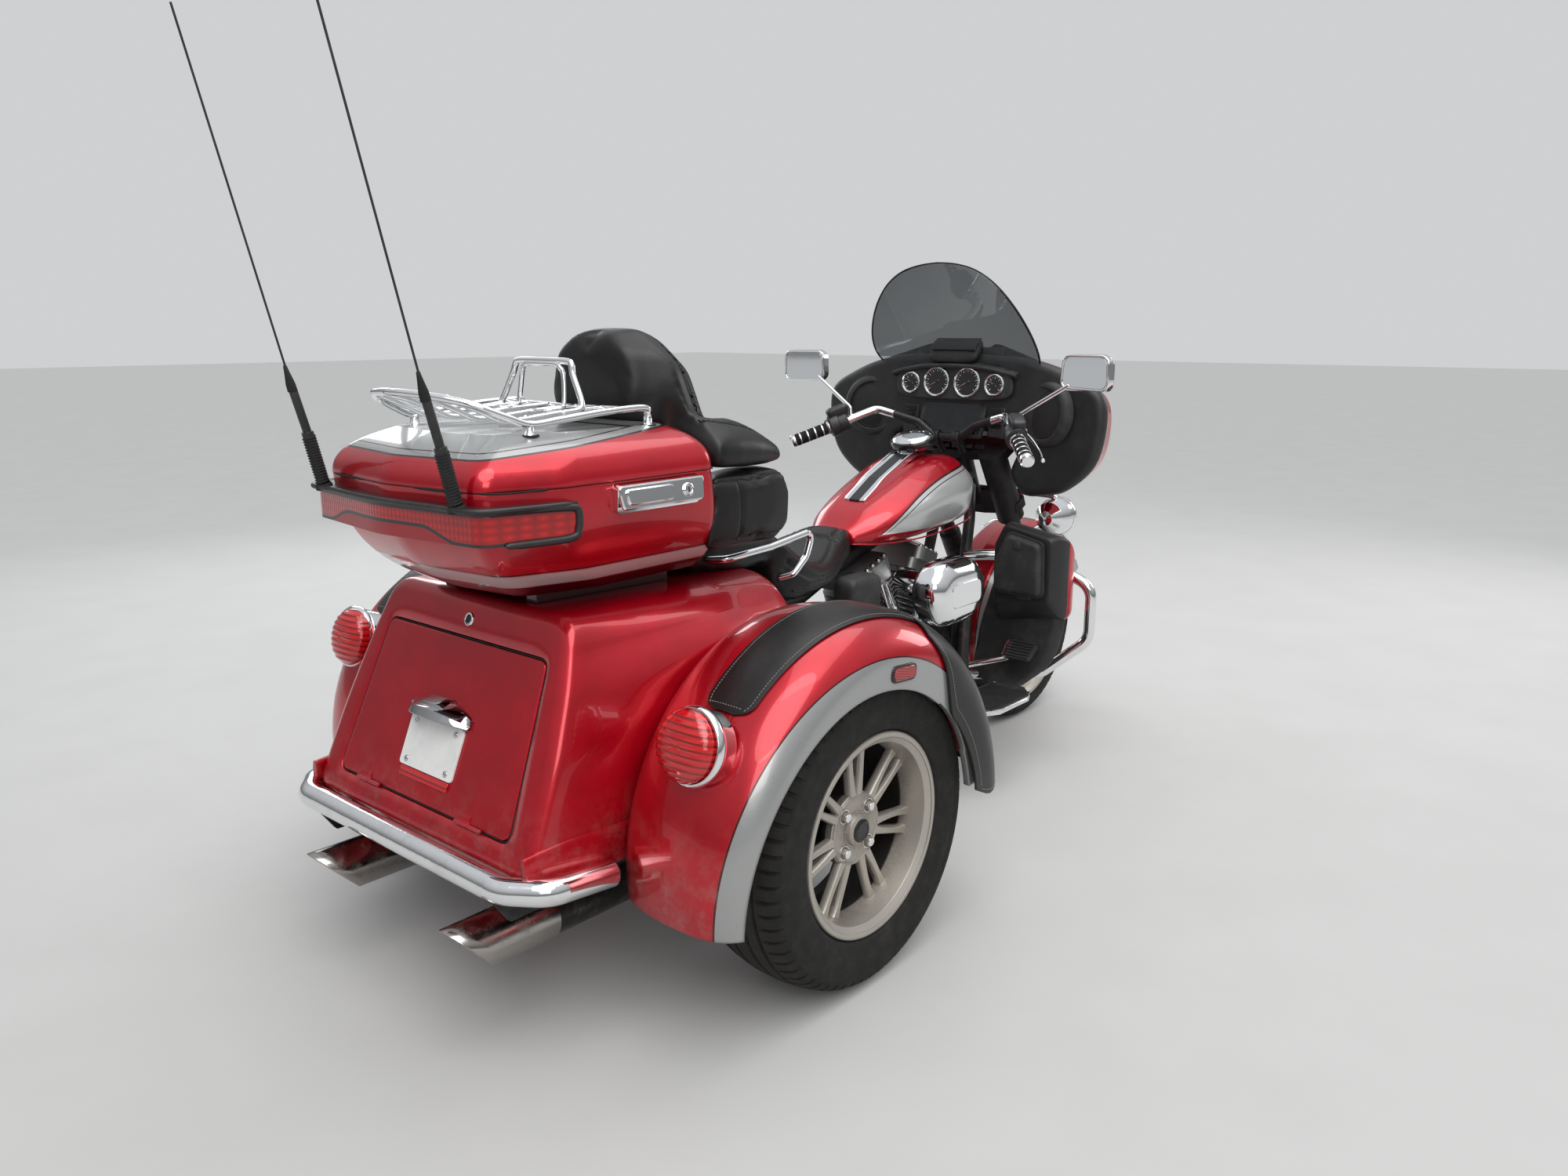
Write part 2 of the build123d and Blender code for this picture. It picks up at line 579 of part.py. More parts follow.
with BuildPart() as air_cleaner:
    with BuildSketch(Plane(origin=at(900, -196, 595), x_dir=(1, 0, 0), z_dir=(0, -1, 0))) as back_plate:
        Ellipse(118, 80)
    with BuildSketch(Plane(origin=at(900, -215, 595), x_dir=(1, 0, 0), z_dir=(0, -1, 0))) as cover_rim:
        Ellipse(130, 90)
    with BuildSketch(Plane(origin=at(900, -272, 595), x_dir=(1, 0, 0), z_dir=(0, -1, 0))) as cover_edge:
        Ellipse(124, 84)
    with BuildSketch(Plane(origin=at(900, -300, 595), x_dir=(1, 0, 0), z_dir=(0, -1, 0))) as cover_face:
        Ellipse(96, 58)
    loft([back_plate.sketch, cover_rim.sketch], ruled=True)
    loft([cover_rim.sketch, cover_edge.sketch, cover_face.sketch])
    add_round(at(900, -70, 600), at(900, -200, 600), 34)
    add(cylinders.part, mode=Mode.SUBTRACT)
keep("air_cleaner", air_cleaner)

with BuildPart() as exhaust:
    # A header down from each cylinder on the right, a collector and a muffler out to the rear on each side
    add_tube([at(1046, -70, 560), at(1084, -178, 500), at(1050, -192, 300), at(960, -192, 202),
              at(480, -192, 196)], 22, [40, 70, 70])
    add_tube([at(760, -70, 560), at(748, -180, 500), at(735, -192, 300), at(640, -192, 202)], 22, [40, 60])
    add_tube([at(500, -192, 196), at(60, -235, 203), at(-160, -235, 205)], 30, 90)
    add_tube([at(-140, -235, 205), at(-600, -235, 205)], 48)
    add_tube([at(420, -196, 198), at(380, -80, 158), at(310, 120, 160), at(180, 235, 200), at(-160, 235, 205)],
             26, [50, 90, 70])
    add_tube([at(-140, 235, 205), at(-600, 235, 205)], 48)
    for muffler_y in (-235, 235):
        add_round(at(-500, muffler_y, 205), at(-610, muffler_y, 205), 43, mode=Mode.SUBTRACT)
    add(cylinders.part, mode=Mode.SUBTRACT)
keep("exhaust", exhaust)

# Tank, console and seat

with BuildPart() as fuel_tank:
    # Stations as (ahead, bottom, shoulder height, top, then the half width at each of those heights)
    tank_stations = [(690, 728, 745, 768, 62, 74, 40), (760, 724, 770, 812, 104, 118, 62),
                     (880, 726, 810, 868, 138, 152, 76), (1010, 736, 842, 918, 150, 166, 84),
                     (1120, 752, 856, 930, 150, 166, 84), (1184, 768, 856, 914, 116, 128, 64),
                     (1212, 782, 850, 894, 72, 84, 42)]
    tank_sections = []
    for d, low, shoulder, top, half_low, half_shoulder, half_top in tank_stations:
        outline = [(half_low, low), (half_shoulder, shoulder), (half_top, top)]
        tank_sections.append((across(d), whole(outline), 24))
    add_loft(tank_sections)
    tunnel = [(620, 600), (1300, 600), (1300, 878), (1180, 853), (700, 712), (620, 690)]
    add_slab(side(38), tunnel, 0, 76, mode=Mode.SUBTRACT)
    add(frame.part, mode=Mode.SUBTRACT)
keep("fuel_tank", fuel_tank)

with BuildPart() as console:
    # A chrome strip down the tank's crest with the round cap at its front
    console_line = [(792, 800), (880, 870), (1000, 922), (1075, 948), (1115, 945), (1115, 958), (1070, 962),
                    (995, 938), (876, 886), (786, 834)]
    add_slab(side(34), console_line, 3, 68)
    cap = [(-22, 0), (-22, 40), (-4, 52), (4, 52), (13, 44), (20, 24), (22, 0)]
    add_turned(cap, at(1062, 0, 972), axis=(-0.28, 0, 0.96), start=(0, 1, 0))
    add(fuel_tank.part, mode=Mode.SUBTRACT)
keep("console", console)


# Rear body

def face_plane(inward=0.0):
    """The leaning rear face: its own axes are right and up the face, and its normal points backwards."""
    lean = radians(FACE_LEAN)
    outer = Plane(origin=at(FACE_FOOT_D, 0, FACE_FOOT_Z), x_dir=(0, -1, 0), z_dir=(-cos(lean), 0, sin(lean)))
    return outer.offset(-inward)


def body_top_z(d):
    """Height of the body's flat top."""
    rear_d = FACE_FOOT_D + FACE_LENGTH * sin(radians(FACE_LEAN))
    return BODY_TOP_REAR_Z + (BODY_TOP_FRONT_Z - BODY_TOP_REAR_Z) * (d - rear_d) / (BODY_TOP_FRONT_D - rear_d)


def body_sections(wall):
    """The body's outlines, drawn in by a wall's thickness."""
    rear = [(FACE_HALF_FOOT - wall, wall), (350 - wall, 150), (322 - wall, 320),
            (FACE_HALF_TOP - wall, FACE_LENGTH - wall)]
    middle = [(391 - wall, 398 + wall), (390 - wall, 560), (378 - wall, 690),
              (276 - wall, body_top_z(TRUNK_FRONT_D) - wall)]
    front = [(360 - wall, 436 + wall), (350 - wall, 560), (312 - wall, 680),
             (224 - wall, BODY_TOP_FRONT_Z - wall)]
    ends = BODY_WALL if wall else 0.0
    return [(face_plane(ends), whole(rear), 34), (across(TRUNK_FRONT_D), whole(middle), 34),
            (across(BODY_TOP_FRONT_D + ends * 2), whole(front), 34)]


def add_hinge_half(from_y, leaf_side):
    """Half of a hinge at the door's foot: a barrel on its axis, with a leaf up the door or down the shell."""
    lean = radians(FACE_LEAN)
    foot = face_plane(-HINGE_OUT).origin + Vector(sin(lean), 0, cos(lean)) * HINGE_UP
    start = (foot.X, from_y, foot.Z)
    end = (foot.X, from_y + HINGE_HALF - TOUCH, foot.Z)
    add_round(start, end, HINGE_R)
    near_up = HINGE_UP + leaf_side * 0.8
    far_up = HINGE_UP + leaf_side * 16
    leaf = [(-start[1], near_up), (-end[1], near_up), (-end[1], far_up), (-start[1], far_up)]
    add_slab(face_plane(), leaf, 0, HINGE_LEAF_T)


with BuildPart() as body_shell:
    add_loft(body_sections(0.0))
    add_loft(body_sections(BODY_WALL), mode=Mode.SUBTRACT)
    # A bulkhead closes the trunk off from the open front part
    bulkhead_plane, bulkhead, bulkhead_corner = body_sections(BODY_WALL / 2)[1]
    add_slab(bulkhead_plane, bulkhead, bulkhead_corner, BODY_WALL)
    opening = [(-DOOR_HALF_FOOT, DOOR_FOOT), (DOOR_HALF_FOOT, DOOR_FOOT),
               (DOOR_HALF_TOP, DOOR_FOOT + DOOR_HEIGHT), (-DOOR_HALF_TOP, DOOR_FOOT + DOOR_HEIGHT)]
    add_slab(face_plane(20), opening, 22, 60, mode=Mode.SUBTRACT)
    for barrel_y in (-HINGE_Y, HINGE_Y):
        add_hinge_half(barrel_y - HINGE_HALF, -1)
    front_open = [(-250, 520), (250, 520), (170, 735), (-170, 735)]
    add_slab(across(BODY_TOP_FRONT_D - 30), front_open, 20, 60, mode=Mode.SUBTRACT)
    add_slab(level(300), [(-60, -330), (150, -300), (150, 300), (-60, 330)], 20, 150, mode=Mode.SUBTRACT)
keep("body_shell", body_shell)

with BuildPart() as seat:
    # The rider's scooped seat and the pillion behind it, as (ahead, bottom, top, half width)
    seat_stations = [(706, 714, 772, 58), (640, 696, 772, 98), (560, 672, 738, 142), (450, 664, 722, 190),
                     (360, 664, 760, 204), (300, 674, 812, 196), (258, 690, 828, 180)]
    pillion_stations = [(254, 766, 832, 176), (180, 762, 838, 178), (60, 764, 838, 176), (4, 766, 834, 160)]
    for stations in (seat_stations, pillion_stations):
        add_loft([(across(d), whole([(half, low), (half - 13, top)]), 24) for d, low, top, half in stations])
    add(fuel_tank.part, mode=Mode.SUBTRACT)
    add(frame.part, mode=Mode.SUBTRACT)
    add(body_shell.part, mode=Mode.SUBTRACT)
keep("seat", seat)

with BuildPart() as grab_rails:
    add_tube([at(46, -160, 800), at(60, -212, 806), at(200, -212, 812), at(352, -210, 830),
              at(330, -208, 770), at(290, -204, 735), at(268, -170, 722)], 8, [20, 120, 16, 30, 20])
    mirror(about=Plane.XZ)
    add(seat.part, mode=Mode.SUBTRACT)
keep("grab_rails", grab_rails)

with BuildPart() as trunk_door:
    gap = DOOR_GAP
    panel = [(-DOOR_HALF_FOOT + gap, DOOR_FOOT + gap), (DOOR_HALF_FOOT - gap, DOOR_FOOT + gap),
             (DOOR_HALF_TOP - gap, DOOR_FOOT + DOOR_HEIGHT - gap),
             (-DOOR_HALF_TOP + gap, DOOR_FOOT + DOOR_HEIGHT - gap)]
    add_slab(face_plane(DOOR_T), panel, 18, DOOR_T)
    for barrel_y in (-HINGE_Y, HINGE_Y):
        add_hinge_half(barrel_y + TOUCH, 1)
keep("trunk_door", trunk_door)

with BuildPart() as number_plate:
    # The blank plate with a reflector below it and its light's hood above
    add_slab(face_plane(), [(-88, 88), (88, 88), (88, 190), (-88, 190)], 8, PLATE_T)
    add_slab(face_plane(), [(-80, 68), (80, 68), (80, 86), (-80, 86)], 3, 4)
    add_slab(face_plane(), [(-96, 196), (96, 196), (70, 214), (44, 236), (-44, 236), (-70, 214)], 6, 46)
keep("number_plate", number_plate)

with BuildPart() as bumper:
    bumper_d = -640.0
    add_tube([at(-452, -BUMPER_HALF, BUMPER_Z - 14), at(-590, -BUMPER_HALF, BUMPER_Z),
              at(bumper_d, -330, BUMPER_Z), at(bumper_d, 330, BUMPER_Z), at(-590, BUMPER_HALF, BUMPER_Z),
              at(-452, BUMPER_HALF, BUMPER_Z - 14)], BUMPER_R, [48, 60, 60, 48])
    # A stay on each side from the tube to the axle
    for stay_y in (-300, 300):
        stay = [(-20, 330), (-300, 312), (-600, 334), (-640, 350), (-652, 330), (-606, 262), (-520, 262),
                (-300, 282), (-20, 300)]
        add_slab(side(stay_y + 5), stay, 6, 10)
    add(rear_axle.part, mode=Mode.SUBTRACT)
keep("bumper", bumper)


def add_fender(wall):
    """The rear fender's shell, drawn in by a wall's thickness on its inner side."""
    crown = FENDER_CROWN_R - wall
    out = FENDER_OUTER_Y - wall
    inner_y = FENDER_INNER_Y + wall
    tail = radians(FENDER_TAIL)
    profile = [(-inner_y, 286), (-inner_y, crown - 42), (-inner_y - 42, crown - 12), (-inner_y - 110, crown),
               (-590, crown - 1), (-out + 52, crown - 16), (-out + 18, crown - 42), (-out, crown - 78),
               (-out, 286)]
    add_turned(profile, at(0, 0, REAR_TYRE_R), arc=180 + FENDER_TAIL - FENDER_NOSE,
               start=(-cos(tail), 0, -sin(tail)), mode=Mode.ADD if wall == 0 else Mode.SUBTRACT)


with BuildPart() as rear_fender:
    add_fender(0.0)
    add_fender(FENDER_WALL)
    with BuildSketch(side(-FENDER_OUTER_Y + 90)):
        with Locations((ARCH_D, ARCH_Z)):
            Circle(ARCH_R)
    extrude(amount=120, mode=Mode.SUBTRACT)
    with BuildSketch(side(-FENDER_INNER_Y + 20)):
        with Locations((0, REAR_TYRE_R)):
            Circle(FENDER_CROWN_R - 60)
    extrude(amount=60, mode=Mode.SUBTRACT)
    add_loft(body_sections(0.0), mode=Mode.SUBTRACT)
    add(bumper.part, mode=Mode.SUBTRACT)
    mirror(about=Plane.XZ)
keep("rear_fenders", rear_fender)

with BuildPart() as fender_cover:
    # A leather cover along the crown that leaves the fender as a hanging flap
    cover_low = FENDER_CROWN_R + TOUCH
    cover_high = cover_low + COVER_T
    strip = [(-COVER_INNER_Y, cover_low), (-COVER_INNER_Y, cover_high), (-COVER_OUTER_Y, cover_high),
             (-COVER_OUTER_Y, cover_low)]
    rear_angle = radians(COVER_REAR_ANGLE)
    add_turned(strip, at(0, 0, REAR_TYRE_R), arc=COVER_REAR_ANGLE - COVER_LEAVES_ANGLE,
               start=(cos(rear_angle), 0, sin(rear_angle)))
    leaves = radians(COVER_LEAVES_ANGLE)
    flap_from = at(cover_low * cos(leaves), 0, REAR_TYRE_R + cover_low * sin(leaves))
    flap_plane = Plane(origin=flap_from, x_dir=(0, -1, 0), z_dir=(cos(leaves), 0, sin(leaves)))
    flap = [(COVER_INNER_Y, 0), (COVER_OUTER_Y, 0), (COVER_OUTER_Y + 50, -60), (COVER_OUTER_Y + 60, -150),
            (COVER_OUTER_Y + 20, -FLAP_LENGTH), (COVER_INNER_Y, -FLAP_LENGTH + 30)]
    down = flap_plane.y_dir.Z
    add_slab(flap_plane, [(across_y, up_by * (1 if down > 0 else -1)) for across_y, up_by in flap], 0, COVER_T)
    mirror(about=Plane.XZ)
keep("fender_covers", fender_cover)

with BuildPart() as fender_lamps:
    # The round tail lamps on the fenders, with their domes backwards, and the oval side markers
    dome = [(-52, 0), (-52, 62), (-6, 72), (0, 72), (0, 64), (18, 58), (30, 44), (36, 0)]
    add_turned(dome, at(-392, -552, 592), axis=(-0.97, 0, 0.24), start=(0, 1, 0))
    hollow = [(-460, 0), (-460, FENDER_CROWN_R - 6), (-500, FENDER_CROWN_R - 2), (-590, FENDER_CROWN_R - 3),
              (-640, FENDER_CROWN_R - 18), (-674, FENDER_CROWN_R - 44), (-674, 0)]
    add_turned(hollow, at(0, 0, REAR_TYRE_R), mode=Mode.SUBTRACT)
    add(rear_fender.part, mode=Mode.SUBTRACT)
    add_slab(Plane(origin=at(37, -FENDER_OUTER_Y, 652), x_dir=(1, 0, -0.08), z_dir=(0, -1, 0)),
             [(-40, -17), (40, -17), (40, 17), (-40, 17)], 15, 6)
    mirror(about=Plane.XZ)
keep("fender_lamps", fender_lamps)


# Top box with its lid, rack and pads

def box_outline(front, rear_corner, rear_middle, half_front, half_rear, wall=0.0):
    """A level outline of the box as (ahead, y) points, drawn in by a wall."""
    right = [(front - wall, -half_front + wall), (rear_corner + 150, -half_front - 2 + wall),
             (rear_corner + wall, -half_rear + wall)]
    return right + [(rear_middle + wall, 0)] + [(d, -y) for d, y in reversed(right)]


# Box levels as (height, front, rear corner, rear middle, half width in front, half width behind)
BOX_LEVELS = [(BOX_FLOOR_Z, -18, -455, -478, 212, 176), (856, -24, -520, -546, 258, 214),
              (BOX_LIP_Z, -48, -584, -611, 288, 243)]
LID_LEVELS = [(BOX_LIP_Z + LID_GAP, -48, -584, -611, 290, 245), (1046, -50, -578, -604, 286, 240),
              (1078, -66, -548, -572, 262, 214), (1106, -110, -490, -508, 205, 160)]


def box_sections(levels, wall=0.0, lift=0.0):
    """Sections of the box or its lid, drawn in by a wall and lifted at one end."""
    corners = [30, 120, 44, 200, 44, 120, 30]
    return [(level(z + lift), box_outline(front, corner, middle, half_f, half_r, wall), corners)
            for z, front, corner, middle, half_f, half_r in levels]


with BuildPart() as box_outer:
    add_loft(box_sections(BOX_LEVELS))

with BuildPart() as box_base:
    add(box_outer.part)
    add_loft(box_sections(BOX_LEVELS[1:], BOX_WALL), mode=Mode.SUBTRACT)
    add_loft(box_sections(BOX_LEVELS[:2], BOX_WALL, BOX_WALL), mode=Mode.SUBTRACT)
    # Feet between the box and the body's top
    for foot_y in (-150, 120):
        foot = [(-400, body_top_z(-400) + TOUCH), (-60, body_top_z(-60) + TOUCH), (-60, BOX_FLOOR_Z),
                (-400, BOX_FLOOR_Z)]
        add_slab(side(foot_y + 30), foot, 0, 30)
    add_round(at(-320, BOX_HINGE_Y, BOX_HINGE_Z), at(-270, BOX_HINGE_Y, BOX_HINGE_Z), BOX_HINGE_R)
    strap_low = BOX_HINGE_Z - BOX_HINGE_R
    strap = [(284, strap_low), (BOX_HINGE_Y, strap_low), (BOX_HINGE_Y, BOX_HINGE_Z), (284, BOX_HINGE_Z)]
    add_slab(across(-320), strap, 0, 50)
keep("box_base", box_base)

with BuildPart() as box_lamp:
    # The lamp bar round the back of the box, with the black ledge above it
    bar = [(-425, -318), (-598, -272), (-630, 0), (-598, 272), (-425, 318), (-425, 200), (-500, 0),
           (-425, -200)]
    add_slab(level(930), bar, [3, 40, 300, 40, 3, 3, 100, 3], 66)
    add(box_outer.part, mode=Mode.SUBTRACT)
keep("box_lamp", box_lamp)

with BuildPart() as antennas:
    mast = [at(-608, -220, 996), at(-632, -220, 1100)]
    add_round(mast[0], mast[1], 11)
    add_round(mast[1], at(-656, -220, 1192), 8)
    add_round(at(-655, -220, 1188), at(-800, -220, 1815), 2)
    mirror(about=Plane.XZ)
keep("antennas", antennas)

with BuildPart() as lid_outer:
    add_loft(box_sections(LID_LEVELS))

with BuildPart() as box_lid:
    add(lid_outer.part)
    mouth_section = box_sections(LID_LEVELS[:1], BOX_WALL, -1.0)
    add_loft(mouth_section + box_sections(LID_LEVELS[1:], BOX_WALL, -BOX_WALL), mode=Mode.SUBTRACT)
    add_round(at(-270 + TOUCH, BOX_HINGE_Y, BOX_HINGE_Z), at(-220, BOX_HINGE_Y, BOX_HINGE_Z), BOX_HINGE_R)
    lid_strap = [(BOX_HINGE_Y - 4, BOX_HINGE_Z), (BOX_HINGE_Y + 4, BOX_HINGE_Z), (BOX_HINGE_Y + 4, 1034),
                 (287, 1034), (287, 1022), (BOX_HINGE_Y - 4, 1022)]
    add_slab(across(-270 + TOUCH), lid_strap, 0, 50 - TOUCH)
keep("box_lid", box_lid)

with BuildPart() as luggage_rack:
    rail = 7.0
    add_tube([at(-146, -196, 1103), at(-150, -200, 1140), at(-430, -188, 1138), at(-540, -150, 1172),
              at(-580, 0, 1180), at(-540, 150, 1172), at(-430, 188, 1138), at(-150, 200, 1140),
              at(-146, 196, 1103)], rail, [24, 60, 60, 200, 60, 60, 24])
    add_round(at(-430, -182, 1101), at(-430, -184, 1138), rail)
    add_round(at(-430, 182, 1101), at(-430, 184, 1138), rail)
    add_round(at(-215, -196, 1140), at(-215, 196, 1140), rail - 1)
    for bar_y in (-120, -72, -24, 24, 72, 120):
        add_tube([at(-215, bar_y, 1140), at(-450, bar_y, 1140), at(-566, bar_y, 1176)], rail - 2, 80)
    add_tube([at(-251, -120, 1140), at(-240, -80, 1226), at(-240, 80, 1226), at(-251, 120, 1140)], rail,
             [24, 24])
    add(box_lid.part, mode=Mode.SUBTRACT)
keep("luggage_rack", luggage_rack)

with BuildPart() as backrest:
    # The upper pad: a dome in front of the box's lid with an arm on each side
    pad_low = BOX_LIP_Z - 14 + PAD_SPLIT_GAP / 2
    front_half = [(214, pad_low), (210, 1120), (160, 1226), (70, 1284)]
    face_half = [(200, pad_low), (190, 1105), (140, 1200), (60, 1258)]
    add_loft([(across(PAD_BACK_D), whole(front_half), 40), (across(30), whole(face_half), 40)])
    add_loft([(across(-118), whole([(120, 1122), (120, 1160), (96, 1238), (44, 1270)]), 20),
              (across(PAD_BACK_D), whole([(150, 1124), (180, 1170), (150, 1236), (70, 1284)]), 20)])
    add_slab(side(150), [(-100, 1024), (PAD_BACK_D, 1024), (PAD_BACK_D, 1126), (-100, 1126)], 0, 300)
    arm_inner_y = 192
    add_loft([(across(PAD_BACK_D), [(-296, pad_low), (-296, 1060), (-240, 1120), (-arm_inner_y, 1120),
                                    (-arm_inner_y, pad_low)], 20),
              (across(110), [(-286, pad_low), (-286, 1050), (-250, 1086), (-208, 1080), (-208, pad_low)], 20),
              (across(192), [(-262, pad_low + 6), (-262, 1030), (-246, 1048), (-224, 1046),
                             (-224, pad_low + 6)], 10)])
    mirror(about=Plane.XZ)
    add(lid_outer.part, mode=Mode.SUBTRACT)
keep("backrest", backrest)

with BuildPart() as arm_pads:
    # The lower pad on the box's front face, with an arm on each side
    low_top = BOX_LIP_Z - 14 - PAD_SPLIT_GAP / 2
    low_arm = [(-64, 846), (150, 846), (186, 880), (186, 950), (160, low_top), (-64, low_top)]
    add_slab(side(-200), low_arm, 24, 84)
    mirror(about=Plane.XZ)
    add_slab(side(202), [(-64, 846), (24, 850), (30, low_top), (-64, low_top)], 8, 404)
    add(box_outer.part, mode=Mode.SUBTRACT)
keep("arm_pads", arm_pads)

with BuildPart() as box_latch:
    latch_plane = Plane(origin=at(-215, -280, 1000), x_dir=(1, 0, 0), z_dir=(0, -1, -0.19))
    add_slab(latch_plane, [(-105, -38), (105, -38), (112, 16), (-112, 16)], 10, 26)
    add(box_outer.part, mode=Mode.SUBTRACT)
keep("box_latch", box_latch)


# Lower fairings, guard and floorboards

with BuildPart() as engine_guard:
    add_tube([at(behind(432), -76, 620), at(behind(358), -250, 640), at(behind(325), -440, 560),
              at(behind(325), -440, 400), at(behind(380), -320, 290), at(behind(474), -92, 262)],
             16, [60, 60, 60, 60])
    mirror(about=Plane.XZ)
    add(frame.part, mode=Mode.SUBTRACT)
keep("engine_guard", engine_guard)

with BuildPart() as lower_fairing:
    # Stations as (behind the front axle, inner y, outer y, bottom, top) of the glove box and its shield
    shell = [(492, 214, 392, 500, 742), (430, 200, 412, 440, 742), (370, 190, 404, 440, 700)]
    rings = []
    for back, near, far, low, high in shell:
        ring = [(-near, low), (-far, low + 40), (-far, high - 30), (-near - 30, high), (-near, high - 60)]
        rings.append((across(behind(back)), ring, 18))
    add_loft(rings)
    mouth = [(-228, 548), (-372, 560), (-366, 700), (-262, 722), (-230, 640)]
    well_end = [(-226, 548), (-378, 560), (-372, 684), (-262, 700), (-230, 640)]
    add_loft([(across(behind(494)), mouth, 16), (across(behind(400)), well_end, 16)], mode=Mode.SUBTRACT)
    add_round(at(LID_HINGE_D, -300, LID_HINGE_Z), at(LID_HINGE_D, -260, LID_HINGE_Z), LID_HINGE_R)
    box_leaf = [(LID_HINGE_D, -300), (LID_HINGE_D + 10, -300), (LID_HINGE_D + 10, -260), (LID_HINGE_D, -260)]
    add_slab(level(LID_HINGE_Z - LID_HINGE_R), box_leaf, 0, 3)
    mirror(about=Plane.XZ)
    add(engine_guard.part, mode=Mode.SUBTRACT)
keep("lower_fairings", lower_fairing)

with BuildPart() as glove_lid:
    add_slab(across(LID_HINGE_D - 8), [(-222, 544), (-380, 544), (-374, 704), (-262, 728), (-224, 646)], 18, 12)
    add_round(at(LID_HINGE_D, -340, LID_HINGE_Z), at(LID_HINGE_D, -300 - TOUCH, LID_HINGE_Z), LID_HINGE_R)
    lid_leaf = [(-340, LID_HINGE_Z), (-300 - TOUCH, LID_HINGE_Z), (-300 - TOUCH, 548), (-340, 548)]
    add_slab(across(LID_HINGE_D - 3), lid_leaf, 0, 6)
keep_pair("glove_lid", glove_lid)

with BuildPart() as floorboards:
    board = [(900, -236), (940, -228), (1150, -228), (1190, -262), (1178, -330), (1120, -378), (960, -378),
             (890, -340)]
    add_slab(level(258), board, 20, 16)
    add_round(at(960, -112, 252), at(960, -300, 252), 10)
    add_round(at(1116, -112, 252), at(1116, -300, 252), 10)
    pedal = [(-50, -32), (50, -32), (44, 32), (-44, 32)]
    add_slab(Plane(origin=at(1195, -300, 372), x_dir=(0, 1, 0), z_dir=(-0.64, 0, 0.77)), pedal, 14, 10)
    add_tube([at(1195, -292, 368), at(1212, -250, 340), at(1140, -112, 300)], 9, 20)
    mirror(about=Plane.XZ)
    add(engine.part, mode=Mode.SUBTRACT)
    add(frame.part, mode=Mode.SUBTRACT)
keep("floorboards", floorboards)
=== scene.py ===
import math

import bpy
import bmesh
from mathutils import Matrix, Vector
from mathutils.bvhtree import BVHTree
from mathutils.kdtree import KDTree


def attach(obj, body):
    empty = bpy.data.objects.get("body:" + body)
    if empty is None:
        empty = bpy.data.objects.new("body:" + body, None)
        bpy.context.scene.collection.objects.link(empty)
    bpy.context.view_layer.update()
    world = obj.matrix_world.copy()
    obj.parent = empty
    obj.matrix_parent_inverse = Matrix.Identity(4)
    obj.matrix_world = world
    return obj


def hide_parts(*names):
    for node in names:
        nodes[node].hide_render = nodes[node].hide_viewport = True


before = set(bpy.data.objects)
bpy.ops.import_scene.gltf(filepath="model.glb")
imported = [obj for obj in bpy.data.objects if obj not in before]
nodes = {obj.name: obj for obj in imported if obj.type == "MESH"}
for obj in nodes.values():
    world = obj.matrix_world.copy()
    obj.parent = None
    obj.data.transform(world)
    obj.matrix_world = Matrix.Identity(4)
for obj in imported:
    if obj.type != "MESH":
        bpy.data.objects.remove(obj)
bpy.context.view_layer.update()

MM = 0.001
SIDES = (-1, 1)  # right, left
REAR_AXLE_X = -599.0
REAR_AXLE_Z = 322.0
REAR_WHEEL_Y = 566.0
REAR_TYRE_R = 322.0
FRONT_AXLE_D = 1670.0
FRONT_AXLE_Z = 319.0
FRONT_TYRE_R = 319.0
CRANK_D = 900.0
CRANK_Z = 365.0
RIGHT, LEFT, UP, AHEAD = (0, -1, 0), (0, 1, 0), (0, 0, 1), (1, 0, 0)

CAMERA_PLACE = (-2.3169, -1.90007, 1.2952)
CAMERA_YAW, CAMERA_PITCH = math.radians(40.67), math.radians(-12.72)
CAMERA_LENS, SENSOR_WIDTH = 26.68, 36.0


def at(d, y, z):
    """A point in metres from its distance ahead of the rear axle, Y and height in millimetres."""
    return Vector(((REAR_AXLE_X + d) * MM, y * MM, z * MM))


def facing(x, y, z):
    return Vector((x, y, z)).normalized()


def link(name, data):
    """A new object in the scene."""
    made = bpy.data.objects.new(name, data)
    bpy.context.scene.collection.objects.link(made)
    return made


def place_camera():
    """The camera at the photograph's place."""
    look = Vector((math.cos(CAMERA_YAW) * math.cos(CAMERA_PITCH), math.sin(CAMERA_YAW) * math.cos(CAMERA_PITCH),
                   math.sin(CAMERA_PITCH)))
    right = look.cross(Vector(UP)).normalized()
    data = bpy.data.cameras.new("camera")
    data.sensor_width, data.lens = SENSOR_WIDTH, CAMERA_LENS
    data.clip_start, data.clip_end = 0.05, 100.0
    camera = link("camera", data)
    rotation = Matrix((right, right.cross(look), -look)).transposed().to_4x4()
    camera.matrix_world = Matrix.Translation(Vector(CAMERA_PLACE)) @ rotation
    bpy.context.scene.camera = camera


# Materials: node graphs written as sums

def operator(operation, swapped=False):
    """A method of Value that adds one math node."""
    def call(self, other=0.0):
        return self.graph.math(operation, *((other, self) if swapped else (self, other)))
    return call


class Value:
    """A number that flows through a graph."""

    def __init__(self, graph, socket):
        self.graph, self.socket = graph, socket

    __add__, __radd__ = operator("ADD"), operator("ADD", True)
    __sub__, __rsub__ = operator("SUBTRACT"), operator("SUBTRACT", True)
    __mul__, __rmul__ = operator("MULTIPLY"), operator("MULTIPLY", True)
    __truediv__, __abs__ = operator("DIVIDE"), operator("ABSOLUTE")
    high, root = operator("MAXIMUM"), operator("SQRT")


